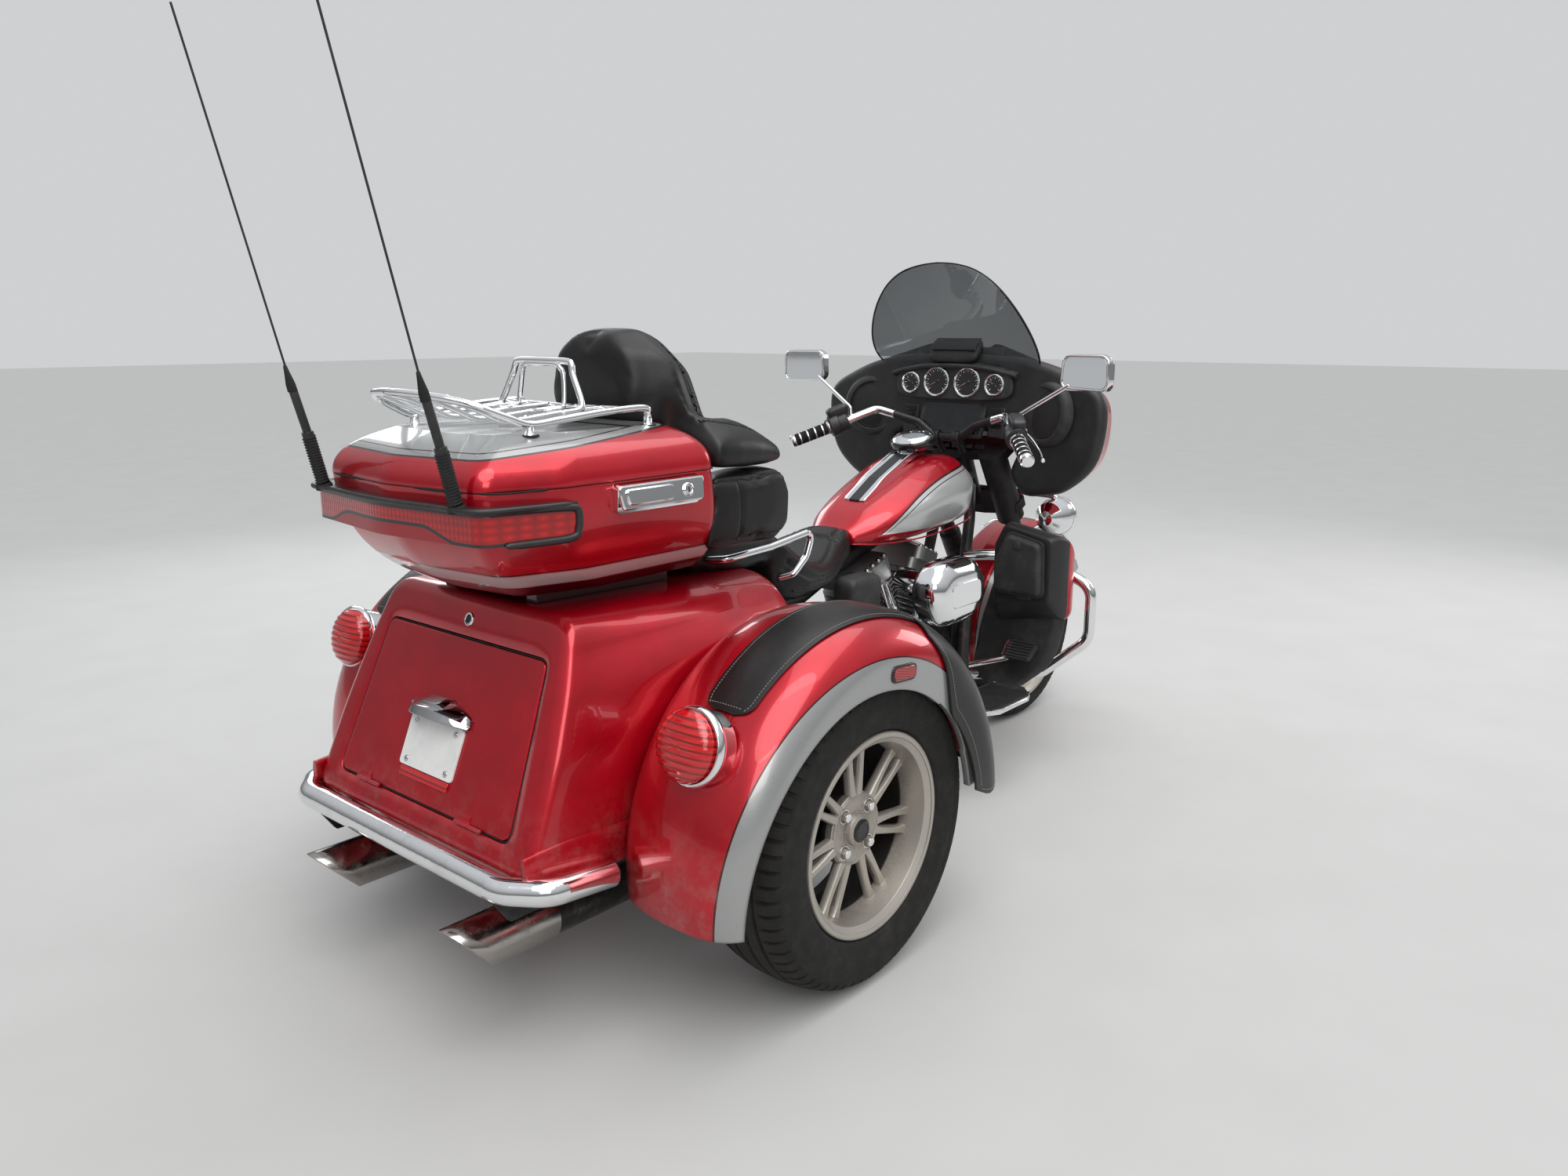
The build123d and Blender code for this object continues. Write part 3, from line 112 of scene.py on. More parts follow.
class Graph:
    """A material whose nodes are made by plain calls. Its d, y and z are the place on the object in
    millimetres: distance ahead of the rear axle, Y and height."""

    def __init__(self, name):
        self.material = bpy.data.materials.new(name)
        self.material.use_nodes = True
        self.tree = self.material.node_tree
        self.shader = next(n for n in self.tree.nodes if n.type == "BSDF_PRINCIPLED")
        self.place = self.tree.nodes.new("ShaderNodeTexCoord").outputs["Object"]
        split = self.tree.nodes.new("ShaderNodeSeparateXYZ")
        self.tree.links.new(self.place, split.inputs[0])
        x, self.y, self.z = (Value(self, split.outputs[i]) * 1000.0 for i in range(3))
        self.d = x - REAR_AXLE_X

    def feed(self, socket, value):
        """Links a value to a socket, or sets a plain one on it."""
        if isinstance(value, Value):
            value = value.socket
        if isinstance(value, bpy.types.NodeSocket):
            self.tree.links.new(value, socket)
        else:
            socket.default_value = value

    def add(self, kind, output=0, settings=(), **inputs):
        """Adds a node with its inputs fed by name, and gives one of its outputs."""
        node = self.tree.nodes.new("ShaderNode" + kind)
        for key, value in settings:
            setattr(node, key, value)
        for name, value in inputs.items():
            self.feed(node.inputs[name.replace("_", " ")], value)
        return Value(self, node.outputs[output])

    def math(self, operation, *values):
        node = self.tree.nodes.new("ShaderNodeMath")
        node.operation = operation
        for socket, value in zip(node.inputs, values):
            self.feed(socket, value)
        return Value(self, node.outputs[0])

    def noise(self, scale, detail=4.0, roughness=0.55):
        return self.add("TexNoise", "Fac", Vector=self.place, Scale=scale, Detail=detail, Roughness=roughness)

    def cells(self, scale, feature="F1"):
        return self.add("TexVoronoi", "Distance", (("feature", feature),), Vector=self.place, Scale=scale)

    def step(self, value, low, high):
        """Rises smoothly from 0 at low to 1 at high."""
        return self.add("MapRange", "Result", (("interpolation_type", "SMOOTHSTEP"),), Value=value, From_Min=low,
                        From_Max=high)

    def fall(self, value, low, high):
        """Falls smoothly from 1 at low to 0 at high."""
        return 1.0 - self.step(value, low, high)

    def near(self, value, middle, half):
        """1 where a value is within half of the middle."""
        return self.fall(abs(value - middle), half * 0.8, half * 1.2)

    def patches(self, scale, low, high):
        """Uneven soft patches, as dust and haze lie."""
        return self.step(self.noise(scale, 6.0, 0.7), low, high)

    def saw(self, value, pitch):
        """A zigzag from 0 to 1 and back."""
        return self.math("PINGPONG", value, pitch) / pitch

    def radius(self, d, z):
        """The distance from an axle that runs across."""
        return ((self.d - d) * (self.d - d) + (self.z - z) * (self.z - z)).root()

    def mix(self, share, a, b):
        a, b = (color + (1.0,) if isinstance(color, tuple) else color for color in (a, b))
        return self.add("Mix", "Result", (("data_type", "RGBA"),), Factor=share, A=a, B=b)

    def bump(self, height, strength, distance, rounded_by=0.0):
        """A normal from a height; hard edges may be rounded by a radius. Both are in millimetres."""
        inputs = {"Height": height, "Strength": strength, "Distance": distance * MM}
        if rounded_by:
            inputs["Normal"] = self.add("Bevel", 0, (("samples", 8),), Radius=rounded_by * MM)
        return self.add("Bump", **inputs)

    def done(self, color, roughness, metal, normal, **extras):
        """Sets the shader's sockets; a plain number is set on the socket itself."""
        extras.update(Base_Color=color, Roughness=roughness, Metallic=metal, Normal=normal)
        for name, value in extras.items():
            self.feed(self.shader.inputs[name.replace("_", " ")], value)
        return self.material


RED = (0.46, 0.0008, 0.011)
RED_DEEP = (0.38, 0.0008, 0.009)
SILVER = (0.34, 0.345, 0.34)
# A lighter copy of the silver, painted light: it lifts the box's foot band, which faces down into shade; the tank's
# teardrops take it too
SILVER_PAINTED_LIT = (0.52, 0.525, 0.52)
STRIPE = (0.035, 0.004, 0.006)
DUST = (0.33, 0.29, 0.24)
CHROME_TONE = (0.84, 0.85, 0.86)
BLACK_TONE = (0.013, 0.013, 0.014)
DARK = (0.012, 0.012, 0.012)
GREY_BLACK = (0.016, 0.016, 0.016)
# The arch in the rear fender's side: its middle's place and its radius
ARCH_D, ARCH_Z, ARCH_R = -48.0, 284.0, 345.0
NOSE_D = FRONT_AXLE_D + 16.0  # the middle that the front fender is drawn about


def scaled(color, factor, lift=0.0):
    return tuple(min(1.0, c * factor + lift) for c in color)


def paint(name, zones=None, rounded_by=8.0, silver=SILVER):
    """Candy red lacquer, with silver panels and stripes where zones says so."""
    g = Graph(name)
    flake = g.noise(2600.0, 1.0)
    color = g.mix(g.step(g.noise(9.0, 2.0), 0.3, 0.7), RED, RED_DEEP)
    if zones:
        panel, stripe = zones(g)
        color = g.mix(panel, color, g.mix(g.step(flake, 0.35, 0.65), scaled(silver, 0.86), silver))
        color = g.mix(stripe, color, STRIPE)
    dusty = g.fall(g.z, 260.0, 520.0) * g.patches(26.0, 0.42, 0.75) * 0.35
    rough = 0.24 + g.noise(70.0, 5.0, 0.7) * 0.10 + dusty * 0.5
    normal = g.bump(flake * 0.6 + g.noise(55.0, 2.0) * 0.4, 0.05, 0.25, rounded_by)
    return g.done(g.mix(dusty, color, DUST), rough, 0.5, normal, Coat_Weight=0.75, Coat_Roughness=0.03, Coat_IOR=1.45)


def arch_zone(g):
    """The silver band round the wheel's arch."""
    t = g.radius(ARCH_D, ARCH_Z) + (692.0 - abs(g.y)) * 0.53
    outside = g.step(abs(g.y), 596.0, 600.0)
    return g.fall(t, 407.0, 408.5) * outside, g.near(t, 409.5, 1.6) * outside


def base_zone(g):
    """The silver band along the foot of the top box."""
    return g.near(g.z, 846.0, 13.0), g.near(g.z, 862.0, 1.5).high(g.fall(g.z, 831.0, 832.5))


def lid_zone(g):
    """The silver panel on the lid's crown, edged by two fine lines."""
    above = g.z - ((g.d + 520.0) * 0.075 + 1073.0)
    return g.step(above, 0.0, 1.0), g.near(above, 0.0, 1.3).high(g.near(above, 9.0, 0.7))


def tank_zone(g):
    """The silver teardrop on each side of the tank, drawn along a line that rises 15 degrees."""
    along = (g.d - 980.0) * 0.966 + (g.z - 800.0) * 0.259
    over = (g.z - 800.0) * 0.966 - (g.d - 980.0) * 0.259
    within = 72.0 - (along - 60.0) * (along - 60.0) * 0.00072 - over
    foot = g.step(g.z, 752.0, 753.5)
    outer = g.step(abs(g.y), 60.0, 62.0)
    line = g.near(within, 0.0, 2.0).high(g.near(within, 10.0, 1.0))
    return g.step(within, 0.0, 1.5) * foot * outer, line * outer * foot


def nose_zone(g):
    """The silver skirt of the front fender."""
    within = (334.0 - (g.d - NOSE_D) * 0.03) - g.radius(NOSE_D, FRONT_AXLE_Z)
    return g.step(within, 0.0, 1.5), g.near(within, 0.0, 1.4)


def fairing_zone(g):
    """The fairing's black lip on the rider's side."""
    return 0.0, g.fall(g.d, 1311.0, 1313.0)


def chrome(name, tint=(0.86, 0.87, 0.88), worn=0.10):
    g = Graph(name)
    smear = g.noise(30.0, 6.0, 0.7)
    pits = g.step(g.noise(420.0, 3.0, 0.6), 0.66, 0.74)
    film = g.fall(g.z, 250.0, 560.0) * g.step(smear, 0.45, 0.7) * 0.22
    tone = g.mix(film.high(pits * 0.25), tint, (0.42, 0.39, 0.35))
    return g.done(tone, 0.035 + smear * worn + film * 0.5, 1.0, g.bump(g.noise(16.0, 2.0), 0.04, 0.5, 1.2))


def plastic(name, color=(0.012, 0.012, 0.013), rough=0.38, grain=900.0, depth=0.06, dust=0.12):
    g = Graph(name)
    tone = g.mix(g.patches(14.0, 0.4, 0.8) * dust, color, (0.16, 0.15, 0.14))
    return g.done(tone, rough + g.noise(60.0, 4.0) * 0.12, 0.0, g.bump(g.cells(grain), depth, 0.5, 1.2))


def painted_metal(name, color, rough=0.42, metal=0.3, depth=0.10, dust=0.3):
    """Powder-coated or cast metal with a fine texture."""
    g = Graph(name)
    haze = g.patches(18.0, 0.45, 0.8) * dust * (1.0 - g.step(g.z, 300.0, 760.0) * 0.7)
    return g.done(g.mix(haze, color, DUST), rough + g.noise(120.0, 4.0) * 0.15, metal,
                  g.bump(g.noise(700.0, 3.0), depth, 0.4, 1.5))


def rubber(name, color=(0.010, 0.0095, 0.009), wheel=None):
    """Tyre rubber, with dust that lies in the tread and on the sidewall."""
    g = Graph(name)
    dust = g.step(g.noise(24.0, 8.0, 0.75), 0.42, 0.78) * 0.26
    if wheel:
        d, z, tread = wheel
        dust = dust + g.step(g.radius(d, z), tread - 24.0, tread - 2.0) * 0.30 * g.noise(90.0, 5.0)
    tone = g.mix(dust, color, (0.075, 0.066, 0.056))
    return g.done(tone, 0.68 + g.noise(40.0, 4.0) * 0.2, 0.0, g.bump(g.noise(380.0, 5.0), 0.2, 0.5, 1.0),
                  Specular_IOR_Level=0.3)


def wheel_metal(name, barrel, shade=None):
    """Satin cast wheel, its barrel brown with dust, with painted shade behind the spokes inward of the Y that shade
    gives.
    """
    g = Graph(name)
    deep = g.step(abs(g.y), barrel[1], barrel[0])
    speckle = g.step(g.noise(420.0, 4.0, 0.7), 0.40, 0.62)
    grime = g.step(g.noise(30.0, 8.0, 0.75), 0.35, 0.75)
    dust = (deep * 0.75 + 0.10) * (grime * 0.5 + speckle * 0.5)
    tone = g.mix(dust, (0.47, 0.44, 0.395), (0.125, 0.085, 0.05))
    if shade:
        # Painted shade: inward of shade the rim behind the spokes is coloured nearly black, and its roughness is raised
        behind = g.fall(abs(g.y), shade - 5.0, shade)
        tone = g.mix(behind * 0.94, tone, (0.006, 0.006, 0.006))
        dust = dust.high(behind * 0.8)
    grain = g.bump(g.noise(500.0, 3.0), 0.08, 0.4, 1.6)
    return g.done(tone, 0.34 + g.noise(90.0, 4.0) * 0.16 + dust * 0.3, 0.75, grain)


def leather(name, color=(0.007, 0.0065, 0.0065), rough=0.33, scale=330.0, wear=0.07):
    g = Graph(name)
    folds = g.noise(17.0, 5.0, 0.6)
    tone = g.mix(g.step(folds, 0.5, 0.9) * wear, color, (0.12, 0.105, 0.095))
    height = g.step(g.cells(scale, "DISTANCE_TO_EDGE"), 0.0, 0.16) * 0.55 + g.noise(1500.0, 3.0) * 0.2 + folds * 0.5
    return g.done(tone, rough + folds * 0.16, 0.0, g.bump(height, 0.22, 0.9), Coat_Weight=0.10, Coat_Roughness=0.25,
                  Specular_IOR_Level=0.32)


def lens(name, color=(0.38, 0.002, 0.004), pitch=6.5):
    g = Graph(name)
    rib = g.saw(g.z + g.d * 0.25, pitch)
    # Painted highlights: the colour runs in bright and dark bands along the ribs, as light on them would fall
    tone = g.mix(g.step(rib, 0.0, 0.55), scaled(color, 0.45), scaled(color, 1.35, 0.003))
    return g.done(tone, 0.10 + g.noise(50.0, 4.0) * 0.06, 0.1, g.bump(rib, 0.5, 2.2, 0.8), Coat_Weight=0.8,
                  Coat_Roughness=0.03)


def lens_bar(name):
    """The long lamp: ribbed red with painted highlights on its ribs, between a black ledge and a foot that is low at
    the ends.
    """
    g = Graph(name)
    rib = g.saw(g.y + g.d * 0.6, 5.0)
    # Painted highlights: the red is coloured bright and dark along the ribs and rows, as light on them would fall
    red = g.mix(rib * g.saw(g.z, 7.0), (0.26, 0.001, 0.002), (0.54, 0.003, 0.006))
    foot = 935.0 + g.fall(abs(g.y), 118.0, 215.0) * 24.0
    below = g.fall(g.z - foot, 0.0, 1.5)
    painted = below * g.fall(abs(g.y), 205.0, 215.0)
    dark = g.step(g.z, 981.0, 982.5).high(below)
    tone = g.mix(dark, red, DARK)
    tone = g.mix(painted * (1.0 - g.near(g.z - foot, -3.0, 3.0)), tone, scaled(RED, 0.6))
    return g.done(tone, 0.09 + dark * 0.33, 0.1, g.bump(rib * (1.0 - dark), 0.35, 1.6, 1.5), Coat_Weight=0.6,
                  Coat_Roughness=0.05)


def two_tone(name, mask, rough, metal, first=CHROME_TONE, second=BLACK_TONE, depth=0.08, rounded_by=1.4):
    """Two finishes on one node, parted by a rule on the place."""
    g = Graph(name)
    share = mask(g)
    grime = g.patches(20.0, 0.45, 0.8) * g.fall(g.z, 260.0, 600.0) * 0.25
    tone = g.mix(grime, g.mix(share, first, second), DUST)
    blended = rough[0] * (1.0 - share) + rough[1] * share + g.noise(60.0, 4.0) * 0.08 + grime * 0.4
    return g.done(tone, blended, metal[0] * (1.0 - share) + metal[1] * share,
                  g.bump(g.noise(500.0, 3.0) * share + g.noise(16.0, 2.0) * 0.2, depth, 0.4, rounded_by))


def board_black(g):
    """Floorboards and pedals: rubber on top, chrome at the edge."""
    return (g.step(g.z, 272.5, 273.5) * g.fall(g.z, 275.0, 300.0)
            + g.step(g.z, 300.0, 301.0) * g.step(abs(g.y), 268.0, 270.0))


def glass(name, color, rough=0.02, ior=1.12, clear=1.0):
    g = Graph(name)
    haze = g.patches(12.0, 0.5, 0.8)
    tone = g.mix(haze * 0.25, color, scaled(color, 1.25, 0.02))
    return g.done(tone, rough + haze * 0.04, 0.0, g.bump(g.noise(7.0, 2.0), 0.03, 0.5), IOR=ior,
                  Transmission_Weight=clear, Coat_Weight=0.5, Coat_Roughness=0.03)


def dial(name):
    """A gauge's dark face with a faint sheen."""
    g = Graph(name)
    tone = g.mix(g.noise(300.0, 3.0), (0.008, 0.008, 0.009), (0.02, 0.02, 0.022))
    return g.done(tone, 0.2, 0.0, g.bump(g.noise(600.0, 2.0), 0.03, 0.2), Coat_Weight=0.8, Coat_Roughness=0.04)


def speaker_cloth(name):
    g = Graph(name)
    dots = g.saw(g.y, 2.2) * g.saw(g.z, 2.2)
    tone = g.mix(g.step(dots, 0.25, 0.5), (0.02, 0.02, 0.021), (0.002, 0.002, 0.002))
    return g.done(tone, 0.5, 0.2, g.bump(dots, 0.4, 1.0))


def thread(name, color):
    g = Graph(name)
    twist = g.noise(2500.0, 2.0)
    return g.done(g.mix(twist, color, scaled(color, 0.5)), 0.75, 0.0, g.bump(twist, 0.4, 0.3))


MAT = {
    "paint": paint("paint_red"),
    "paint_body": paint("paint_body", None, 4.0),
    "paint_fairing": paint("paint_fairing", fairing_zone, 4.0),
    "paint_arch": paint("paint_arch", arch_zone),
    # Its silver band is painted lighter, as painted light on a face that looks down into shade
    "paint_base": paint("paint_box_base", base_zone, 8.0, SILVER_PAINTED_LIT),
    "paint_lid": paint("paint_lid", lid_zone),
    # Its silver teardrops take the same silver painted lighter
    "paint_tank": paint("paint_tank", tank_zone, 8.0, SILVER_PAINTED_LIT),
    "paint_nose": paint("paint_nose", nose_zone),
    "chrome": chrome("chrome"),
    "satin_chrome": chrome("satin_chrome", (0.62, 0.62, 0.62), 0.35),
    "tip_chrome": chrome("tip_chrome", (0.40, 0.375, 0.35), 0.30),
    "dark_chrome": chrome("dark_chrome", (0.42, 0.42, 0.43), 0.06),
    "mirror": chrome("mirror_face", (0.80, 0.82, 0.84), 0.01),
    "black": plastic("black_plastic"),
    "dash_plastic": plastic("dash_plastic", (0.012, 0.012, 0.013), 0.45, 700.0, 0.08, 0.1),
    "black_soft": plastic("black_soft", GREY_BLACK, 0.55, 600.0, 0.12, 0.2),
    "gloss_black": plastic("gloss_black", (0.008, 0.008, 0.009), 0.12, 300.0, 0.02, 0.06),
    "plate_face": plastic("plate_face", (0.70, 0.70, 0.68), 0.32, 200.0, 0.02, 0.25),
    "screen_glass": plastic("screen_glass", (0.004, 0.005, 0.006), 0.06, 100.0, 0.01, 0.10),
    "black_metal": painted_metal("black_metal", BLACK_TONE),
    "engine": painted_metal("engine_black", (0.016, 0.016, 0.017), 0.36, 0.4, 0.16),
    "fins": painted_metal("fins", (0.27, 0.27, 0.27), 0.34, 0.9, 0.08),
    "pipe": painted_metal("pipe", (0.05, 0.048, 0.046), 0.3, 0.85, 0.06, 0.5),
    "rear_rubber": rubber("rear_tyre_rubber", wheel=(0.0, REAR_AXLE_Z, REAR_TYRE_R)),
    "front_rubber": rubber("front_tyre_rubber", wheel=(FRONT_AXLE_D, FRONT_AXLE_Z, FRONT_TYRE_R)),
    "pad_rubber": rubber("pad_rubber", DARK),
    # The rear rims' metal, with painted shade behind the spokes
    "rear_wheel": wheel_metal("rear_wheel_metal", (590.0, 650.0), 597.0),
    "spoke_metal": wheel_metal("spoke_metal", (560.0, 600.0)),
    "front_wheel": wheel_metal("front_wheel_metal", (10.0, 50.0)),
    "leather": leather("leather"),
    "cover_leather": leather("cover_leather", (0.006, 0.0055, 0.0055), 0.27, 260.0, 0.10),
    "cloth_black": leather("cloth_black", GREY_BLACK, 0.62, 900.0, 0.2),
    "lens": lens("lens_red"),
    "marker": lens("marker_red", (0.26, 0.003, 0.005), 2.5),
    "lens_bar": lens_bar("lens_bar"),
    "smoke": glass("smoked_screen", (0.52, 0.55, 0.57)),
    "lamp_glass": glass("lamp_glass", (0.85, 0.87, 0.88), 0.02, 1.35, 0.85),
    "dial": dial("dial_face"),
    "speaker": speaker_cloth("speaker_mesh"),
    "thread": thread("thread_grey", (0.30, 0.28, 0.25)),
    "thread_black": thread("thread_black", (0.02, 0.02, 0.02)),
    "mark": thread("dial_marks", (0.75, 0.74, 0.70)),
    "needle": thread("needle", (0.45, 0.30, 0.25)),
    # Black in the middle of the handlebar, under the bumper's ledge, between the console's edges and on the
    # rider's side of the lower fairings; clear at the front of the lamps
    "bars": two_tone("bar_finish", lambda g: g.fall(abs(g.y), 168.0, 172.0), (0.05, 0.4), (1.0, 0.2)),
    "bumper": two_tone("bumper_finish", lambda g: g.fall(g.z, 315.0, 317.0) * g.fall(abs(g.y), 312.0, 316.0),
                       (0.05, 0.45), (1.0, 0.2)),
    "boards": two_tone("board_finish", board_black, (0.10, 0.7), (1.0, 0.0), depth=0.2),
    "console": two_tone("console_finish", lambda g: g.fall(abs(g.y), 17.0, 18.0) * g.fall(g.d, 1000.0, 1001.0),
                        (0.06, 0.3), (1.0, 0.0)),
    "lower": two_tone("lower_fairing_finish", lambda g: g.fall(g.d + (abs(g.y) - 300.0) * 0.10, 1262.0, 1264.0),
                      (0.2, 0.45), (0.4, 0.0), RED, rounded_by=14.0),
    "lamps": two_tone("lamp_finish", lambda g: g.step(g.d, 1508.0, 1510.0), (0.05, 0.08), (1.0, 0.3),
                      second=(0.75, 0.75, 0.72)),
}

# The nodes that show; the rest are replaced by pieces, or black
NODE_MATERIALS = {
    "rear_wheel": ("rear_rim_right", "rear_rim_left"), "front_wheel": ("front_rim",),
    "paint": ("trunk_door",), "paint_nose": ("front_fender",), "paint_base": ("box_base",), "paint_lid": ("box_lid",),
    "lower": ("lower_fairings",), "bumper": ("bumper",), "console": ("console",), "lamps": ("front_lamps",),
    "bars": ("handlebar",), "boards": ("floorboards",), "lens_bar": ("box_lamp",), "engine": ("engine",),
    "fins": ("cylinders",), "pipe": ("exhaust",), "black_soft": ("glove_lid_right", "glove_lid_left"),
    "chrome": ("engine_guard", "box_latch", "mirrors", "grab_rails"),
    "black_metal": ("fork", "frame", "rear_axle"),
}
MATERIAL_OF = {node: material for material, names in NODE_MATERIALS.items() for node in names}

for name, node in nodes.items():
    node.data.materials.clear()
    node.data.materials.append(MAT[MATERIAL_OF.get(name, "black")])


# Outlines and lines

def inset(outline, amount):
    """A closed outline drawn in by an amount."""
    count = len(outline)
    area = sum(outline[i - 1][0] * outline[i][1] - outline[i][0] * outline[i - 1][1] for i in range(count))
    turn = 1.0 if area > 0 else -1.0
    made = []
    for i in range(count):
        back, here, onward = (Vector(outline[(i + k) % count]) for k in (-1, 0, 1))
        first, second = (here - back), (onward - here)
        first = first.normalized() if first.length else second.normalized()
        second = second.normalized() if second.length else first
        normal = (Vector((-first.y, first.x)) + Vector((-second.y, second.x))) * turn
        if normal.length < 1e-6:
            normal = Vector((-first.y, first.x)) * turn
        made.append(tuple(here + normal.normalized() * amount))
    return made


def rounded(points, radius, steps=5):
    """A closed outline with its corners rounded."""
    made = []
    count = len(points)
    for i in range(count):
        back, here, onward = (Vector(points[(i + k) % count]) for k in (-1, 0, 1))
        to_back, to_on = (back - here), (onward - here)
        reach = min(radius, to_back.length * 0.48, to_on.length * 0.48)
        start, end = here + to_back.normalized() * reach, here + to_on.normalized() * reach
        for k in range(steps + 1):
            t = k / steps
            made.append(tuple(start * (1 - t) ** 2 + here * 2 * t * (1 - t) + end * t * t))
    return made


def box(half_x, half_y, radius, steps=5):
    """A rectangle with rounded corners."""
    return rounded([(-half_x, -half_y), (half_x, -half_y), (half_x, half_y), (-half_x, half_y)], radius, steps)


def oval(half_x, half_y, count, power):
    """A closed oval; a higher power makes it squarer."""
    def bent(share):
        return math.copysign(abs(share) ** (2 / power), share)

    turns = (math.tau * i / count for i in range(count))
    return [(half_x * bent(math.cos(a)), half_y * bent(math.sin(a))) for a in turns]


def full_ring(points, radius, corner_steps=6, edge_steps=5):
    """A closed outline with rounded corners and points along its edges, in an order that sections share."""
    soft = rounded(points, radius, corner_steps)
    made = []
    per = corner_steps + 1
    for corner in range(len(points)):
        arc = soft[corner * per:(corner + 1) * per]
        onward = Vector(soft[((corner + 1) * per) % len(soft)])
        made += arc + [tuple(Vector(arc[-1]).lerp(onward, k / edge_steps)) for k in range(1, edge_steps)]
    return made


def whole(half):
    """A half outline of (y, height) points with its mirror image."""
    return list(half) + [(-y, z) for y, z in reversed(half)]


def mirrored(rows):
    """A line from one side to the middle, carried on to the other side."""
    return list(rows) + [(d, -y, z) for d, y, z in reversed(rows[:-1])]


def over(half):
    """A line of places from one side to the middle, carried on to the other side."""
    return half + [Vector((p.x, -p.y, p.z)) for p in reversed(half[:-1])]


def curve(points, per=8, loop=False):
    """A smooth line through points."""
    points = [Vector(p) for p in points]
    count = len(points)
    made = []
    for i in range(count if loop else count - 1):
        reach = [i + k for k in (-1, 0, 1, 2)]
        p = [points[k % count if loop else min(max(k, 0), count - 1)] for k in reach]
        for step in range(per):
            t = step / per
            made.append(0.5 * (2 * p[1] + (p[2] - p[0]) * t + (2 * p[0] - 5 * p[1] + 4 * p[2] - p[3]) * t * t
                               + (3 * p[1] - p[0] - 3 * p[2] + p[3]) * t ** 3))
    return made if loop else made + [points[-1]]


def path(rows, sign=1, per=8):
    """A smooth line through rows of (distance, Y, height), on the side that sign gives."""
    return curve([at(d, sign * y, z) for d, y, z in rows], per)


def smooth_ring(outline):
    return [(p.x, p.y) for p in curve([(y, z, 0) for y, z in outline], 6, loop=True)]


def length(points):
    return sum((b - a).length for a, b in zip(points, points[1:]))


def walk(points, pitch, most=math.inf):
    """Points at an even pitch along a line."""
    made, left = [Vector(points[0])], pitch
    for start, end in zip(points, points[1:]):
        run = (end - start).length
        while run >= left > 0 and len(made) < most:
            start = start + (end - start) * (left / run)
            made.append(start.copy())
            run, left = (end - start).length, pitch
        left -= run
    return made


def evenly(points, count):
    """A fixed number of points evenly along a line."""
    return walk(points, length(points) / (count - 1), count - 1) + [points[-1]]


def through(rings, places, place):
    """A ring between given rings: a smooth curve through each point's places."""
    count = len(places)
    i = next((k for k in range(count - 1) if place <= places[k + 1]), count - 2)
    low, high = places[i], places[i + 1]
    span = high - low
    t = (place - low) / span
    made = []
    for j in range(len(rings[0])):
        p1, p2 = rings[i][j], rings[i + 1][j]
        m1 = (p2 - (rings[i - 1][j] if i > 0 else p1)) / ((high - (places[i - 1] if i > 0 else low)) or 1.0)
        m2 = ((rings[i + 2][j] if i + 2 < count else p2) - p1) / ((places[i + 2] if i + 2 < count else high) - low)
        made.append(p1 * (2 * t ** 3 - 3 * t * t + 1) + m1 * span * (t ** 3 - 2 * t * t + t)
                    + p2 * (-2 * t ** 3 + 3 * t * t) + m2 * span * (t ** 3 - t * t))
    return made


def quarters(steps):
    """Angles up to a right angle."""
    return [k / steps * math.pi / 2 for k in range(1, steps + 1)]


def ray_hit(outline, origin, aim):
    """Where a ray from a point inside a closed outline, aimed through another, leaves it."""
    direction = (aim - origin).normalized()
    best = None
    for i in range(len(outline)):
        a, b = Vector(outline[i - 1]), Vector(outline[i])
        edge = b - a
        cross = direction.x * edge.y - direction.y * edge.x
        if abs(cross) < 1e-9:
            continue
        gap = a - origin
        t = (gap.x * edge.y - gap.y * edge.x) / cross
        s = (gap.x * direction.y - gap.y * direction.x) / cross
        if t > 0 and -1e-6 <= s <= 1 + 1e-6 and (best is None or t > best):
            best = t
    return origin + direction * (best or 1.0)


# Meshes in code: vertices are gathered in metres, in the frame's own place

